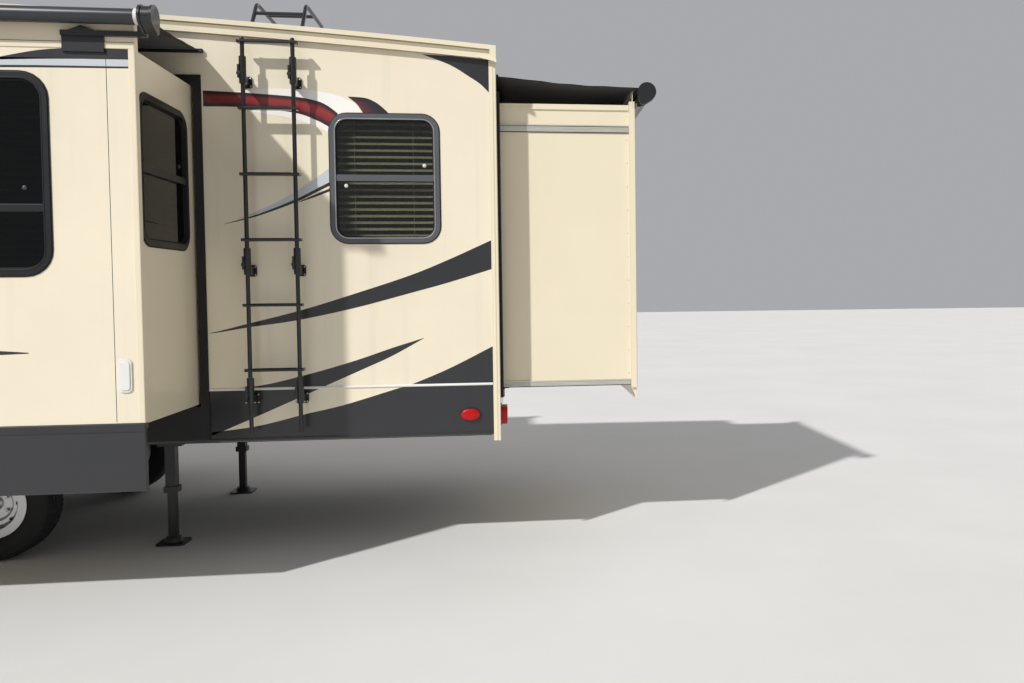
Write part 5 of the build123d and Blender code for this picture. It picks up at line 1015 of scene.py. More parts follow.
def cloth_grid(wall, start, end, rail_up, edge_out, edge_up):
    """A grid of points from the wall's rail to the top of the roller."""
    bm = bmesh.new()
    rows = []
    for out_step in range(OUT_STEPS + 1):
        share = out_step / OUT_STEPS
        row = []
        for along_step in range(ALONG_STEPS + 1):
            place = along_step / ALONG_STEPS
            near_edge = max(0.0, 1 - min(place, 1 - place) * (end - start) / EDGE_ZONE)
            dip = SAG * math.sin(math.pi * share) ** 2 * (1 + 0.25 * math.sin(3 * math.pi * place))
            ripple = EDGE_RIPPLE * near_edge * math.sin(share * 9 * math.pi) * 4 * share * (1 - share)
            up = rail_up + (edge_up - rail_up) * share - dip + ripple
            out = RAIL_OUT + (edge_out - RAIL_OUT) * share
            row.append(bm.verts.new(at(wall, start + (end - start) * place, up, out)))
        rows.append(row)
    for one, two in zip(rows, rows[1:]):
        for step in range(ALONG_STEPS):
            bm.faces.new((one[step], one[step + 1], two[step + 1], two[step]))
    return bm


print("points in a cloth", (ALONG_STEPS + 1) * (OUT_STEPS + 1))

# %% [markdown]
# ## Cloths on their rollers
# When a room slides in, the roller takes up the cloth. A mesh can't be rolled up by a joint,
# and here the sheet is a fixed piece that rides on the body. The roller carries a sleeve of
# cloth that is wound up already, between two pale collars, and a bead holds the cloth in the
# wall's rail.

# %% Cloths, rolls and collars
def sleeve(bm, wall, along, roller_up, out, length, radius, sides):
    """A round of cloth or plastic on a roller's tube."""
    inside = ROLLER_RADIUS + 0.0005
    turned(bm, at(wall, along, roller_up, out), WALLS[wall][1],
           ((0, inside), (0, radius), (length, radius), (length, inside)), sides)


for room, wall, reach, rail_up, roller_up, joint in TOPPERS:
    collar_from, collar_to = limits(f"{room}_cloth", wall)
    start, end = collar_from + COLLAR, collar_to - COLLAR
    edge_out = reach + ROLLER_OUT
    edge_up = roller_up + ROLLER_RADIUS + CLOTH_GAP
    grid = cloth_grid(wall, start, end, rail_up, edge_out, edge_up)
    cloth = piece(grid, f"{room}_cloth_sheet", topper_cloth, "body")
    thickness = cloth.modifiers.new("cloth", "SOLIDIFY")
    thickness.thickness = 0.001
    thickness.offset = 0
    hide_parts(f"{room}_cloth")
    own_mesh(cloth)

    roll, collars, bead = bmesh.new(), bmesh.new(), bmesh.new()
    # The roll's lighter blue-grey is painted sheen on the black cloth.
    sleeve(roll, wall, start, roller_up, edge_out, end - start, 0.0394, 40)
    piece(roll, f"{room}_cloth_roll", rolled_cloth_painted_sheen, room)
    for place in (collar_from, end):
        sleeve(collars, wall, place, roller_up, edge_out, COLLAR, 0.0412, 32)
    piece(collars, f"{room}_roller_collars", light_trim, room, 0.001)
    strip(bead, wall, ((rail_up - 0.012, 0.0225), (rail_up - 0.006, 0.028), (rail_up - 0.001, 0.0225)),
          (start, end))
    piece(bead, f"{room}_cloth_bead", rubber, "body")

# %% [markdown]
# ## Wheels
# A tyre's tread is cut by grooves round it and by slanted sipes across its shoulders, and the
# sidewall has fine rings pressed in. The tyre is turned from its section, with the grooves
# and the rings in the section itself, so that they run round without a seam.

# %% Section of a tyre
GROOVES = (-0.052, -0.018, 0.018, 0.052)
GROOVE_HALF, GROOVE_DEEP = 0.0045, 0.008


def tyre_section():
    """Half width outwards and radius, from the outer bead over the tread to the inner bead."""
    side = [(0.0785, 0.1675), (0.0785, 0.2095), (0.0815, 0.2165), (0.0905, 0.2285), (0.1005, 0.2445),
            (0.1025, 0.2455), (0.1075, 0.2595), (0.1115, 0.2745), (0.1122, 0.2830), (0.1095, 0.2990),
            (0.1068, 0.3080), (0.1072, 0.3105), (0.1035, 0.3265), (0.0955, 0.3405)]
    crown = [(0.0880, 0.3448), (0.0720, 0.3485)]
    for groove in reversed(GROOVES):
        if groove > 0:
            crown += [(groove + GROOVE_HALF, 0.3496), (groove + GROOVE_HALF * 0.6, 0.3496 - GROOVE_DEEP),
                      (groove - GROOVE_HALF * 0.6, 0.3498 - GROOVE_DEEP), (groove - GROOVE_HALF, 0.3498)]
    half = side + crown
    return half + [(-out, radius) for out, radius in reversed(half)]


SECTION = tyre_section()
print("points in a tyre's section", len(SECTION))

# %% [markdown]
# ## Tread, bolts and valves
# The blocks between the sipes are made by pulling in narrow rows of points of the tread, which
# is quicker and cleaner than cutting each sipe out. The rim is a painted steel disc from the
# frame, and gets its wheel bolts and a valve here. All of it turns with the wheel.

# %% Wheels
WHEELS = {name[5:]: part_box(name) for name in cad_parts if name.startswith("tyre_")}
SPOKES, SIPE_EVERY = 240, 4
SHOULDER_OUT, SHOULDER_RADIUS, CROWN_RADIUS = 0.060, 0.335, 0.3485
SHOULDER_CUT, CROWN_CUT = 0.006, 0.0025  # how deep a sipe is in either
DISC_OUT, BOLT_CIRCLE, BOLTS = 0.0243, 0.0825, 6
VALVE_OUT, VALVE_CIRCLE = 0.021, 0.1555
for label, (low, high) in WHEELS.items():
    middle = (low + high) / 2
    outwards = 1 if middle.y > 0 else -1
    bm = bmesh.new()
    rings = []
    for spoke in range(SPOKES):
        turn = math.tau * spoke / SPOKES
        sipe = spoke % SIPE_EVERY == 0
        ring = []
        for out, radius in SECTION:
            shoulder = abs(out) > SHOULDER_OUT and radius > SHOULDER_RADIUS
            cut = 0.0
            if sipe and shoulder:
                cut = SHOULDER_CUT
            elif sipe and radius > CROWN_RADIUS:
                cut = CROWN_CUT
            skew = turn + (0.6 * (abs(out) - SHOULDER_OUT) if shoulder else 0.4 * out)
            ring.append(middle + Vector((math.sin(skew) * (radius - cut), outwards * out,
                                         math.cos(skew) * (radius - cut))))
        rings.append(ring)
    close_rings(bm, rings)
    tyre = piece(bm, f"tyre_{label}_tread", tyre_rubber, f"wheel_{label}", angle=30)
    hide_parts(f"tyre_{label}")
    bolts = bmesh.new()
    for bolt in range(BOLTS):
        turn = math.tau * bolt / BOLTS
        spot = middle + outwards * DISC_OUT * Y + BOLT_CIRCLE * Vector((math.sin(turn), 0, math.cos(turn)))
        turned(bolts, spot, outwards * Y, ((0, 0.0135), (0.003, 0.0135), (0.0031, 0.0105), (0.016, 0.0105),
                                          (0.019, 0.0075)), 6)
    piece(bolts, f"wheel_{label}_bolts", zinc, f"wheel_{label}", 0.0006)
    valve = bmesh.new()
    foot = middle + outwards * VALVE_OUT * Y + VALVE_CIRCLE * Vector((0.5, 0, 0.866))
    turned(valve, foot, outwards * Y, ((0, 0.005), (0.030, 0.0042), (0.0305, 0.0048), (0.044, 0.0045),
                                       (0.046, 0.003)), 12)
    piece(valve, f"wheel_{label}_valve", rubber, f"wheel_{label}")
print("wheels", len(WHEELS), "with", SPOKES // SIPE_EVERY, "tread blocks round each")

# %% [markdown]
# ## Ladder fittings
# The ladder's rails pass through moulded sleeves that its stands hold off the wall. Each
# sleeve has a locking lever on a round boss, and each base plate four screws. The lowest
# sleeves carry a small pin, which lets the foot of the ladder hinge up, and the rungs wear
# ribbed grips.

# %% Levers, screws, pins and grips
LADDER_RAILS, LADDER_OUT = (1.199, 1.489), 0.092
STAND_ROWS = (2.192, 1.049, 0.265)
SLEEVE_UP, SLEEVE_HALF = 0.055, 0.080
PAD_FRONT = 0.0084
RUNG_LOW, RUNG_TOP, RUNGS = 0.446, 2.415, 6
levers, pins, screws, grips = (bmesh.new() for _ in range(4))
for rail in LADDER_RAILS:
    for row in STAND_ROWS:
        middle = row + SLEEVE_UP
        bar(levers, "left", (rail + 0.012, rail + 0.026), (middle - 0.050, middle + 0.030),
            (LADDER_OUT + 0.002, LADDER_OUT + 0.024))
        turned(levers, at("left", rail + 0.006, middle - 0.020, LADDER_OUT + 0.013), X,
               ((0, 0.012), (0.022, 0.012), (0.026, 0.008)), 20)
        for side in (-1, 1):
            for rise in (-0.024, 0.024):
                turned(screws, at("left", rail + side * 0.022, row + rise, PAD_FRONT), Y,
                       ((0, 0.0052), (0.0012, 0.0052), (0.0028, 0.0025)), 12)
    pin = at("left", rail - 0.030, STAND_ROWS[2] + SLEEVE_UP - SLEEVE_HALF + 0.010, LADDER_OUT + 0.004)
    turned(pins, pin, X, ((0, 0.0042), (0.060, 0.0042)), 12)
for count in range(RUNGS):
    up = RUNG_LOW + (RUNG_TOP - RUNG_LOW) * count / (RUNGS - 1)
    for row in range(5):
        out = LADDER_OUT - 0.018 + row * 0.009
        bar(grips, "left", (LADDER_RAILS[0] + 0.022, LADDER_RAILS[1] - 0.022), (up + 0.0088, up + 0.0102),
            (out - 0.0022, out + 0.0022))
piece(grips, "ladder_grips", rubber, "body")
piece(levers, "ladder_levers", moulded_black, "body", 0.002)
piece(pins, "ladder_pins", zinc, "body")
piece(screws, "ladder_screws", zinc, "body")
print("ladder screws", 4 * len(LADDER_RAILS) * len(STAND_ROWS))

# %% [markdown]
# ## Stripes of the front
# Ahead of the rooms a dark swoosh rises from the skirt to the front cap, with a thin grey
# blade above it, and a red band with white film runs behind the bedroom window, as its like
# does at the rear. The door side's swoosh starts ahead of its entry door. On the raised
# deck's wall a dark foot below the swoosh reaches down to the wall's edge.

# %% Front side stripes
FRONT_STRIPES = {
    "front_swoosh": (charcoal_vinyl,
                     ((6.370, 0.905), (7.000, 1.070), (7.700, 1.290), (8.350, 1.520), (8.930, 1.740)),
                     ((6.370, 0.895), (7.000, 0.950), (7.700, 1.120), (8.350, 1.330), (8.930, 1.550))),
    "front_foot": (charcoal_vinyl,
                   ((7.010, 0.870), (7.600, 0.950), (8.200, 1.140), (8.600, 1.330), (8.930, 1.560)),
                   ((7.010, 0.834), (7.600, 0.834), (8.200, 0.834), (8.600, 0.834), (8.930, 0.834))),
    "front_band": (band_film,
                   ((6.450, 1.385), (6.900, 1.520), (7.250, 1.630), (7.562, 1.728)),
                   ((6.450, 1.378), (6.900, 1.460), (7.250, 1.548), (7.562, 1.630))),
    "front_band_cap": (white_vinyl,
                       ((6.600, 1.442), (6.900, 1.540), (7.250, 1.662), (7.562, 1.772)),
                       ((6.600, 1.436), (6.900, 1.524), (7.250, 1.634), (7.562, 1.732))),
    "front_band_on": (band_film,
                      ((8.342, 1.975), (8.650, 2.070), (8.930, 2.165)),
                      ((8.342, 1.865), (8.650, 1.950), (8.930, 2.035))),
    "front_band_cap_on": (white_vinyl,
                          ((8.342, 2.020), (8.650, 2.118), (8.930, 2.215)),
                          ((8.342, 1.979), (8.650, 2.074), (8.930, 2.169))),
    "front_blade": (grey_vinyl,
                    ((6.400, 1.000), (7.000, 1.150), (7.700, 1.365), (8.350, 1.590), (8.930, 1.815)),
                    ((6.400, 0.996), (7.000, 1.135), (7.700, 1.335), (8.350, 1.552), (8.930, 1.768))),
}
for side in ("left", "right"):
    for name, (film, upper, lower) in FRONT_STRIPES.items():
        if name == "front_swoosh" and side == "left":
            upper = ((5.600, 0.720), (6.000, 0.800)) + upper
            lower = ((5.600, 0.714), (6.000, 0.765)) + lower
        stripe(f"{side}_{name}_film", side, upper, lower, film)
print("front stripes", 2 * len(FRONT_STRIPES))

# %% [markdown]
# ## Door and hatches
# A caravan's door and its luggage hatches are sandwich panels in clamped frames: one ring is
# screwed to the wall round the opening, and one holds the panel's edge with a rubber seal
# beside it. Both are hoops between two outlines of the opening, grown by a few millimetres,
# so the gap between them is even all round. The wall's ring and its screws stay on the body.

# %% Frames and screws
DOOR_GAP, DOOR_RADIUS = 0.006, 0.060
SCREW_IN, SCREW_STEP, SCREW_OFF = 0.080, 0.140, 0.0125  # from a corner, apart, off the edge
SCREW = ((0, 0.0042), (0.0008, 0.0042), (0.0018, 0.002))
# Columns: body, wall, limits along the wall, limits up
DOORS = (
    ("entry_door", "right", (5.640, 6.320), (0.190, 2.070)),
    ("left_hatch", "left", (5.760, 6.760), (0.120, 0.640)),
    ("right_hatch", "right", (6.560, 6.950), (0.120, 0.640)),
)


def frame_line(along, up, by):
    """Outline of a door's opening, grown by a distance."""
    return rounded(sum(along) / 2, sum(up) / 2, along[1] - along[0] + 2 * by, up[1] - up[0] + 2 * by,
                   DOOR_RADIUS + by, 8)


def screw_places(low, high):
    """Places for an even row of screws between two corners."""
    run = high - low - 2 * SCREW_IN
    count = int(run / SCREW_STEP)
    return [low + SCREW_IN + run * step / count for step in range(count + 1)]


for body, wall, along, up in DOORS:
    outer = bmesh.new()
    hoop(outer, wall, frame_line(along, up, 0.024), frame_line(along, up, 0.001), 0.0008, 0.003)
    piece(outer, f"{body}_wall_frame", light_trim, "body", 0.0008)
    inner = bmesh.new()
    hoop(inner, wall, frame_line(along, up, -DOOR_GAP - 0.001), frame_line(along, up, -0.034),
         0.0006, 0.003)
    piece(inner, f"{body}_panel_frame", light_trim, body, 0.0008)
    bulb = bmesh.new()
    hoop(bulb, wall, frame_line(along, up, -0.036), frame_line(along, up, -0.040), 0.0003, 0.0014)
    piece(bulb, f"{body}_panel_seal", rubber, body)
    screws = bmesh.new()
    for edge, off in ((0, -SCREW_OFF), (1, SCREW_OFF)):
        spots = [(place, up[edge] + off) for place in screw_places(*along)]
        spots += [(along[edge] + off, place) for place in screw_places(*up)]
        for spot in spots:
            turned(screws, at(wall, *spot, 0.0028), WALLS[wall][2], SCREW, 10)
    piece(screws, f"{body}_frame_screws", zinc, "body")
print("door and hatch frames", len(DOORS))

# %% [markdown]
# ## Latches and locks
# The door has a latch with a paddle and a dead lock, a kick strip and two raised mouldings. A
# hatch has slam latches near its free edge. These are small cast or pressed parts, so low
# panels with round corners and turned keyholes are enough. They ride on the door or hatch.

# %% Latches, locks and mouldings
for body, wall, places in (("left_hatch", "left", (5.96, 6.56)), ("right_hatch", "right", (6.755,))):
    latches, keys = bmesh.new(), bmesh.new()
    for place in places:
        panel(latches, wall, rounded(place, 0.205, 0.072, 0.062, 0.012), 0.0006, 0.007)
        panel(latches, wall, rounded(place, 0.213, 0.050, 0.030, 0.008), 0.007, 0.010)
        turned(keys, at(wall, place, 0.189, 0.0068), WALLS[wall][2],
               ((0, 0.0085), (0.0025, 0.0085), (0.003, 0.0065), (0.0022, 0.002)), 16)
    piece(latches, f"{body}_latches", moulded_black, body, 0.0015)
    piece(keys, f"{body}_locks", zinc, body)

LOCK_ALONG, ENTRY_MIDDLE, KEYHOLES = 5.716, 5.98, (1.078, 1.176)
lock, keys, plates = bmesh.new(), bmesh.new(), bmesh.new()
panel(lock, "right", rounded(LOCK_ALONG, 1.125, 0.084, 0.150, 0.014), 0.0006, 0.012)
panel(lock, "right", rounded(LOCK_ALONG, 1.112, 0.058, 0.060, 0.012), 0.012, 0.020)
for up in KEYHOLES:
    turned(keys, at("right", LOCK_ALONG, up, 0.0115), -Y,
           ((0, 0.0105), (0.003, 0.0105), (0.0036, 0.0085), (0.0026, 0.002)), 18)
for up, height in ((0.370, 0.200), (0.760, 0.420)):
    hoop(plates, "right", rounded(ENTRY_MIDDLE, up, 0.50, height, 0.03),
         rounded(ENTRY_MIDDLE, up, 0.488, height - 0.012, 0.024), 0.0002, 0.0035)
panel(plates, "right", rounded(ENTRY_MIDDLE, 0.245, 0.56, 0.010, 0.004), 0.0003, 0.004)
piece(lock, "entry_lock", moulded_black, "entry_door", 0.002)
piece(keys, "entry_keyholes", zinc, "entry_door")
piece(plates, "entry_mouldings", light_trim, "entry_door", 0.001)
print("keyholes in the entry door", len(KEYHOLES))

# %% [markdown]
# ## Marker and tail lamps
# A marker lamp is a crowned red lens on a dark base. A ball could be flattened for it, but
# rings that shrink as they rise give it a flat foot that lies on the base. A tail lamp is
# ribbed and has a clear part for backing up.

# %% Lenses, ribs and bases
clear_lens = finish("clear_lens", "#E9ECEC", 0.2, patch=40, spread=0.06, grain=240, relief=0.0004,
                    Coat_Weight=0.6)


def ellipse(along, up, half_along, half_up, sides=48):
    """Outline of an ellipse, given by its middle."""
    turns = [math.tau * side / sides for side in range(sides)]
    return [(along + half_along * math.cos(t), up + half_up * math.sin(t)) for t in turns]


MARKER, TAIL = (0.182, 0.131), (SIDE_Y - 0.140, 0.109)
MARKER_RADII, MARKER_FRONT, DOME_RISE = (0.0585, 0.0365), 0.0181, 0.0095


def dome(bm, wall, steps=8):
    """The crowned front of a marker lamp: a low elliptic dome with a flat foot."""
    rings = []
    for step in range(steps):
        turn = math.pi / 2 * step / steps
        line = ellipse(*MARKER, *(radius * math.cos(turn) for radius in MARKER_RADII))
        out = MARKER_FRONT + DOME_RISE * math.sin(turn)
        rings.append([bm.verts.new(at(wall, *spot, out)) for spot in line])
    tip = bm.verts.new(at(wall, *MARKER, MARKER_FRONT + DOME_RISE))
    for low, high in zip(rings, rings[1:]):
        for place, corner in enumerate(low):
            bm.faces.new((low[place - 1], corner, high[place], high[place - 1]))
    for place, corner in enumerate(rings[-1]):
        bm.faces.new((rings[-1][place - 1], corner, tip))
    bm.faces.new(reversed(rings[0]))


bases, ribs, clear, domes = (bmesh.new() for _ in range(4))
for wall in ("left", "right"):
    hoop(bases, wall, ellipse(*MARKER, 0.066, 0.044), ellipse(*MARKER, 0.0595, 0.0375), 0.0005, 0.010)
    dome(domes, wall)
for side in (1, -1):
    middle = side * TAIL[0]
    hoop(bases, "rear", rounded(middle, TAIL[1], 0.206, 0.126, 0.036),
         rounded(middle, TAIL[1], 0.191, 0.111, 0.030), 0.0005, 0.012)
    panel(clear, "rear", rounded(middle - side * 0.055, TAIL[1], 0.058, 0.086, 0.014), 0.0484, 0.0505)
    for step in range(9):
        up = TAIL[1] - 0.040 + step * 0.010
        bar(ribs, "rear", sorted((middle - side * 0.018, middle + side * 0.082)), (up - 0.001, up + 0.001),
            (0.0482, 0.0492))
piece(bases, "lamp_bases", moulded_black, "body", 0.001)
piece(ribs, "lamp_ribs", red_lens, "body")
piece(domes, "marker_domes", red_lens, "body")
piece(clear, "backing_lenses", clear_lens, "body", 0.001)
print("a marker lamp stands out by", round(1000 * (MARKER_FRONT + DOME_RISE), 1), "mm")

# %% [markdown]
# ## Top lamps and stays
# Three small red lamps stand in the middle of the rear wall's top, as the road rules ask. On
# each side of the rear room a thin stay runs from the roller's bracket to the room's top. It
# rides on the room, as the roller does.

# %% Lamps at the top, and stays
TOP_LAMPS = ((-0.16, 2.368), (0.0, 2.368), (0.16, 2.368))
top_lamps, top_bases = bmesh.new(), bmesh.new()
for place in TOP_LAMPS:
    panel(top_bases, "rear", rounded(*place, 0.100, 0.030, 0.012), 0.0005, 0.006)
    panel(top_lamps, "rear", rounded(*place, 0.084, 0.019, 0.009), 0.006, 0.016)
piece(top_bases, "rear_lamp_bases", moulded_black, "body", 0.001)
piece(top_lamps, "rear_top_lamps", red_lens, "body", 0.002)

stays = bmesh.new()
for wall in REAR_SIDES:
    rod(stays, at(wall, 0.910, 2.212, -0.010), at(wall, 0.882, 2.138, -0.010), 0.0035, 12)
    bar(stays, wall, (0.878, 0.910), (2.1354, 2.141), (-0.020, -0.002))
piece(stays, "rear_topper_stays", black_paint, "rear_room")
print("lamps at the top", len(TOP_LAMPS))

# %% [markdown]
# ## Steps
# Each tread of the entry steps has a ribbed rubber mat with a pale nosing. The ribs are true
# bars on a thin sheet, because their shadows are what tells a mat from paint.

# %% Treads
STEP_LOW, STEP_HIGH = limits("entry_steps", "right")
TREADS, TREAD_UP, TREAD_DROP, TREAD_OUT, TREAD_STEP = 3, -0.040, 0.230, 0.012, 0.190
step_along = (STEP_LOW + 0.024, STEP_HIGH - 0.024)
mats, nosings = bmesh.new(), bmesh.new()
for tread in range(TREADS):
    top = TREAD_UP - TREAD_DROP * tread
    back_edge = TREAD_OUT + TREAD_STEP * tread
    bar(mats, "right", step_along, (top + 0.0003, top + 0.0025), (back_edge + 0.032, back_edge + 0.200))
    for rib in range(15):
        out = back_edge + 0.038 + rib * 0.0112
        bar(mats, "right", (step_along[0] + 0.006, step_along[1] - 0.006), (top + 0.0025, top + 0.0045),
            (out, out + 0.0055))
    bar(nosings, "right", step_along, (top + 0.0003, top + 0.0032), (back_edge + 0.203, back_edge + 0.219))
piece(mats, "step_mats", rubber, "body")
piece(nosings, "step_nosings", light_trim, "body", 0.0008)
print("treads", TREADS)

# %% [markdown]
# ## Awning
# The patio awning is rolled up: its cloth winds round the tube, a pull strap hangs from it,
# and its rail runs along the wall above. The roll is one outline whose radius grows over the
# turn, so that the edge of the last layer shows as a step along the tube.

# %% Rolled awning
awning_cloth = finish("awning_cloth", "#3B4046", 0.6, patch=5, spread=0.2, grain=1500,
                      relief=0.00005, Sheen_Weight=0.1)
AWNING_LOW, AWNING_HIGH = limits("patio_awning", "right")
AWNING_UP, AWNING_OUT, AWNING_RADIUS = 2.500, 0.100, 0.052
WOUND_STEPS = 48
roll, strap, rail = bmesh.new(), bmesh.new(), bmesh.new()
along = (AWNING_LOW + 0.052, AWNING_HIGH - 0.052)
wound = []
for step in range(WOUND_STEPS + 1):
    turn = math.tau * step / WOUND_STEPS
    radius = AWNING_RADIUS + 0.0006 + 0.0024 * step / WOUND_STEPS
    wound.append((AWNING_UP + radius * math.sin(turn), AWNING_OUT + radius * math.cos(turn)))
strip(roll, "right", wound, along)
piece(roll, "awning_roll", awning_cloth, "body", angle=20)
place, strap_low = along[0] + 1.5, AWNING_UP - 0.150
bar(strap, "right", (place - 0.012, place + 0.012), (strap_low, AWNING_UP - 0.020),
    (AWNING_OUT + 0.0505, AWNING_OUT + 0.052))
turned(strap, at("right", place, strap_low, AWNING_OUT + 0.051), Z,
       ((-0.012, 0.004), (-0.010, 0.009), (0.0, 0.009), (0.003, 0.005)), 14)
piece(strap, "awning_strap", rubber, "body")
strip(rail, "right", ((2.585, 0.0005), (2.585, 0.008), (2.592, 0.014), (2.600, 0.014), (2.604, 0.008),
                      (2.604, 0.0005)), (AWNING_LOW - 0.05, 8.90))
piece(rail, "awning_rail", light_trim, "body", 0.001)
print("awning", round(along[1] - along[0], 2), "m long")

# %% [markdown]
# ## Sealant
# On the roof, beads of sealant close the edges of the cooler and the vents. A bead is pressed
# out by hand and a little uneven. Here a low section follows the fitting's outline, and the
# relief of its finish makes it uneven.

# %% Sealant on the roof
sealant = finish("sealant", "#E9E7E0", 0.7, patch=30, spread=0.1, grain=60, relief=0.0008)
beads = bmesh.new()
# Columns: distance out from a fitting's outline, height above its foot
BEAD_SECTION = ((0.022, 0.0), (0.0132, 0.0048), (0.0044, 0.006), (-0.001, 0.0054), (-0.001, 0.0))


def bead_round(low, high, radius):
    """A low bead of sealant round a fitting on the roof."""
    middle, size = (low + high) / 2, high - low
    rings = []
    for by, rise in BEAD_SECTION:
        line = rounded(middle.x, middle.y, size.x + 2 * by, size.y + 2 * by, radius + by, 8)
        rings.append([Vector((x, y, low.z + 0.0002 + rise)) for x, y in line])
    close_rings(beads, rings)


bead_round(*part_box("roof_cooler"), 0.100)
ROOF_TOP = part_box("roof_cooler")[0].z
VENT_HALF = 0.21
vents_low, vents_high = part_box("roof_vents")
for middle_x in (vents_low.x + VENT_HALF, vents_high.x - VENT_HALF):
    bead_round(Vector((middle_x - VENT_HALF, -VENT_HALF, ROOF_TOP)),
               Vector((middle_x + VENT_HALF, VENT_HALF, ROOF_TOP)), 0.036)
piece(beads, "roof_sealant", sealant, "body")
print("sealant round the cooler and the vents")

# %% [markdown]
# ## Mouldings and amber lamps
# Where the moulded cap meets the side walls a flat moulding covers the joint, and others edge
# the drop wall and the raised deck. Small amber lamps sit on the deck's sides and on the cap,
# where each is laid on the curved surface by a ray that finds the place and its normal.

# %% Mouldings and clearance lamps
DECK_UP, CAP_ALONG, CAP_TOP = 0.834, 8.950, 2.600
covers = bmesh.new()
for wall in ("left", "right"):
    for low, high, edge in ((DECK_UP, CAP_TOP, CAP_ALONG), (0.004, DECK_UP, DROP_WALL - 0.012)):
        upright(covers, wall, ((edge - 0.013, 0.0008), (edge - 0.012, 0.0035), (edge - 0.004, 0.0050),
                               (edge + 0.004, 0.0050), (edge + 0.012, 0.0035), (edge + 0.013, 0.0008)),
                (low, high))
    strip(covers, wall, rail_section(DECK_UP + 0.010, 0.005, 0.022), (DROP_WALL, CAP_ALONG - 0.013))
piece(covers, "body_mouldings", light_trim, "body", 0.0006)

amber_lens = finish("amber_lens", "#E07A12", 0.22, patch=40, spread=0.15, grain=240, relief=0.0006,
                    Coat_Weight=0.6)
CAP_LAMPS, CAP_LAMP_Z, AHEAD_X = (-0.95, -0.16, 0.0, 0.16, 0.95), 3.22, 7.0
SIDE_LAMP = (8.60, 0.93)
amber, amber_bases = bmesh.new(), bmesh.new()
for across in CAP_LAMPS:
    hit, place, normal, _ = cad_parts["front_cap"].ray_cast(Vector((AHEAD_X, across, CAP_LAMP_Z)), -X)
    if not hit:
        raise RuntimeError("no place for a lamp on the cap")
    turned(amber_bases, place - 0.004 * normal, normal, ((0, 0.030), (0.009, 0.029), (0.010, 0.024)), 28)
    turned(amber, place + 0.004 * normal, normal, ((0, 0.022), (0.006, 0.0215), (0.012, 0.016),
                                                   (0.014, 0.006)), 28)
for wall in ("left", "right"):
    panel(amber_bases, wall, rounded(*SIDE_LAMP, 0.120, 0.050, 0.020), 0.0012, 0.006)
    panel(amber, wall, rounded(*SIDE_LAMP, 0.104, 0.036, 0.016), 0.006, 0.016)
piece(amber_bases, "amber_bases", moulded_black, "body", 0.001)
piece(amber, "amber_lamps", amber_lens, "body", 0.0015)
print("amber lamps on the cap", len(CAP_LAMPS))

# %% [markdown]
# ## Service parts
# The sides carry the service parts of such a caravan: vent grilles, small doors for water and
# power, and a porch lamp by the entry door. A grille's blades are tilted strips in front of a
# dark plate, which is painted shade for the dark inside of a vent, since a hole in the wall
# would show that the inside is empty.

# %% Grilles, service doors and porch lamp
# Columns: wall, along, up, width, height
GRILLES = (("right", 5.450, 0.560, 0.260, 0.180), ("left", 6.080, 1.300, 0.500, 0.300))
SERVICE_DOORS = (("left", 6.870, 0.560, 0.120, 0.120), ("left", 5.650, 0.560, 0.110, 0.110),
                 ("right", 5.450, 0.260, 0.240, 0.240))
BLADE_STEP = 0.022
PORCH_ALONG = 5.450
grilles, grille_shade_plates, doors, keys, porch = (bmesh.new() for _ in range(5))
for wall, along, up, width, height in GRILLES:
    hoop(grilles, wall, rounded(along, up, width, height, 0.020),
         rounded(along, up, width - 0.04, height - 0.04, 0.010), 0.0006, 0.010)
    # The dark plate behind the blades is painted shade for the vent's inside.
    panel(grille_shade_plates, wall, rounded(along, up, width - 0.036, height - 0.036, 0.010), 0.0004, 0.0012)
    for blade in range(int((height - 0.05) / BLADE_STEP)):
        foot = up - height / 2 + 0.030 + blade * BLADE_STEP
        strip(grilles, wall, ((foot, 0.0014), (foot + 0.016, 0.0085), (foot + 0.018, 0.0085),
                              (foot + 0.003, 0.0014)),
              (along - width / 2 + 0.019, along + width / 2 - 0.019))
for wall, along, up, width, height in SERVICE_DOORS:
    panel(doors, wall, rounded(along, up, width, height, 0.018), 0.0006, 0.006)
    panel(doors, wall, rounded(along, up - 0.004, width - 0.026, height - 0.034, 0.012), 0.006, 0.010)
    turned(keys, at(wall, along, up - height / 2 + 0.024, 0.0098), WALLS[wall][2],
           ((0, 0.007), (0.002, 0.007), (0.0026, 0.005)), 14)
panel(doors, "right", rounded(PORCH_ALONG, 1.960, 0.120, 0.150, 0.020), 0.0006, 0.014)
panel(porch, "right", rounded(PORCH_ALONG, 1.966, 0.096, 0.104, 0.016), 0.014, 0.034)
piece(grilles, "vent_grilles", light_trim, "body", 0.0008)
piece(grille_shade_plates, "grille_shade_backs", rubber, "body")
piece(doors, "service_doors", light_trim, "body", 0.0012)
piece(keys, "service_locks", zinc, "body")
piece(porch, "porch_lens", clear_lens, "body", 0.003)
print("service parts", len(GRILLES) + len(SERVICE_DOORS), "and a porch lamp")

# %% [markdown]
# ## Camera
# The camera stands on the road side, some 6 m from the wall and near the rear corner, at eye
# height. Its place was solved from the wall's known edges, and its lens is shifted as the
# picture's crop asks. To turn the camera instead would slant the caravan's upright edges.

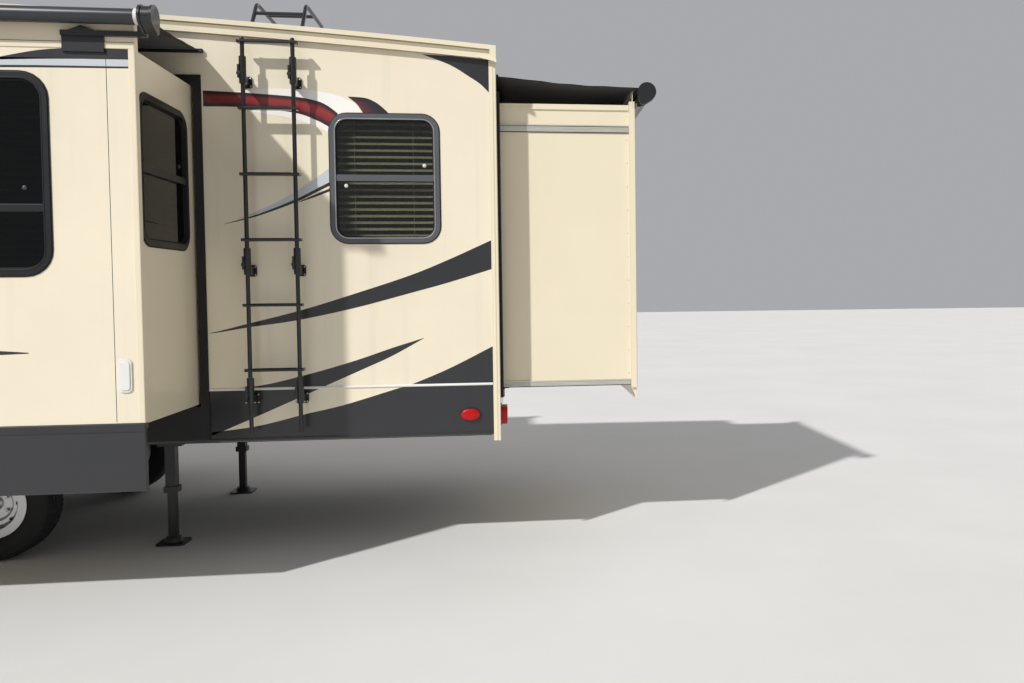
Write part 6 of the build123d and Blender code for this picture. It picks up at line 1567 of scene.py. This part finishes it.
# %% Camera
CAMERA_PLACE = (-4.3346, 6.991, 1.637)
LENS, SENSOR, SHIFT_X, SHIFT_Y = 31.64, 36.0, -0.113, -0.0166
CAMERA_RIGHT = Vector((-0.99209, 0.12517, -0.00962))
CAMERA_UP = Vector((-0.01427, -0.03626, 0.99924))
camera = bpy.data.objects.new("camera", bpy.data.cameras.new("camera"))
bpy.context.scene.collection.objects.link(camera)
bpy.context.scene.camera = camera
camera.data.sensor_width = SENSOR
camera.data.lens = LENS
camera.data.shift_x = SHIFT_X
camera.data.shift_y = SHIFT_Y
camera.data.clip_end = 200.0
turn = Matrix((CAMERA_RIGHT, CAMERA_UP, CAMERA_RIGHT.cross(CAMERA_UP))).transposed()
camera.matrix_world = turn.to_4x4()
camera.location = CAMERA_PLACE
print("camera", [round(v, 2) for v in camera.location])

# %% [markdown]
# ## Light and floor
# One lamp like the sun shines from above the towing end and the road side, a weak and broad
# one from the other side, and a pale sky lights the rest. The view transform is the standard
# one, which leaves the colours as they were chosen. The floor is only the studio's, and takes
# the caravan's shadow.

# %% Lamps, sky and floor
# Columns: name, direction, strength, spread in degrees
SUNS = (
    ("key", (-0.62, -0.62, -0.72), 3.4, 1.6),
    ("fill", (0.5, 0.8, -0.6), 0.3, 40),
)
SKY_COLOUR, SKY_STRENGTH = (0.93, 0.95, 1.0, 1), 0.42
for name, direction, strength, spread in SUNS:
    lamp = bpy.data.objects.new(name, bpy.data.lights.new(name, "SUN"))
    lamp.data.energy = strength
    lamp.data.angle = math.radians(spread)
    lamp.rotation_mode = "QUATERNION"
    lamp.rotation_quaternion = Vector(direction).to_track_quat("-Z", "Y")
    bpy.context.scene.collection.objects.link(lamp)
world = bpy.data.worlds.new("pale_sky")
world.use_nodes = True
sky = world.node_tree.nodes["Background"]
sky.inputs["Color"].default_value = SKY_COLOUR
sky.inputs["Strength"].default_value = SKY_STRENGTH
bpy.context.scene.world = world
bpy.context.scene.view_settings.view_transform = "Standard"
pale_floor = finish("pale_floor", "#D8D6D2", 0.85, patch=0.6, spread=0.05, grain=40, relief=0.0004)
FLOOR_REACH = 60.0
bm = bmesh.new()
bm.faces.new([bm.verts.new((x * FLOOR_REACH, y * FLOOR_REACH, 0.0))
              for x, y in ((-1, -1), (1, -1), (1, 1), (-1, 1))])
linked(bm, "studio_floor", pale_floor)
print("suns", len(SUNS), "and a floor", 2 * FLOOR_REACH, "m across")
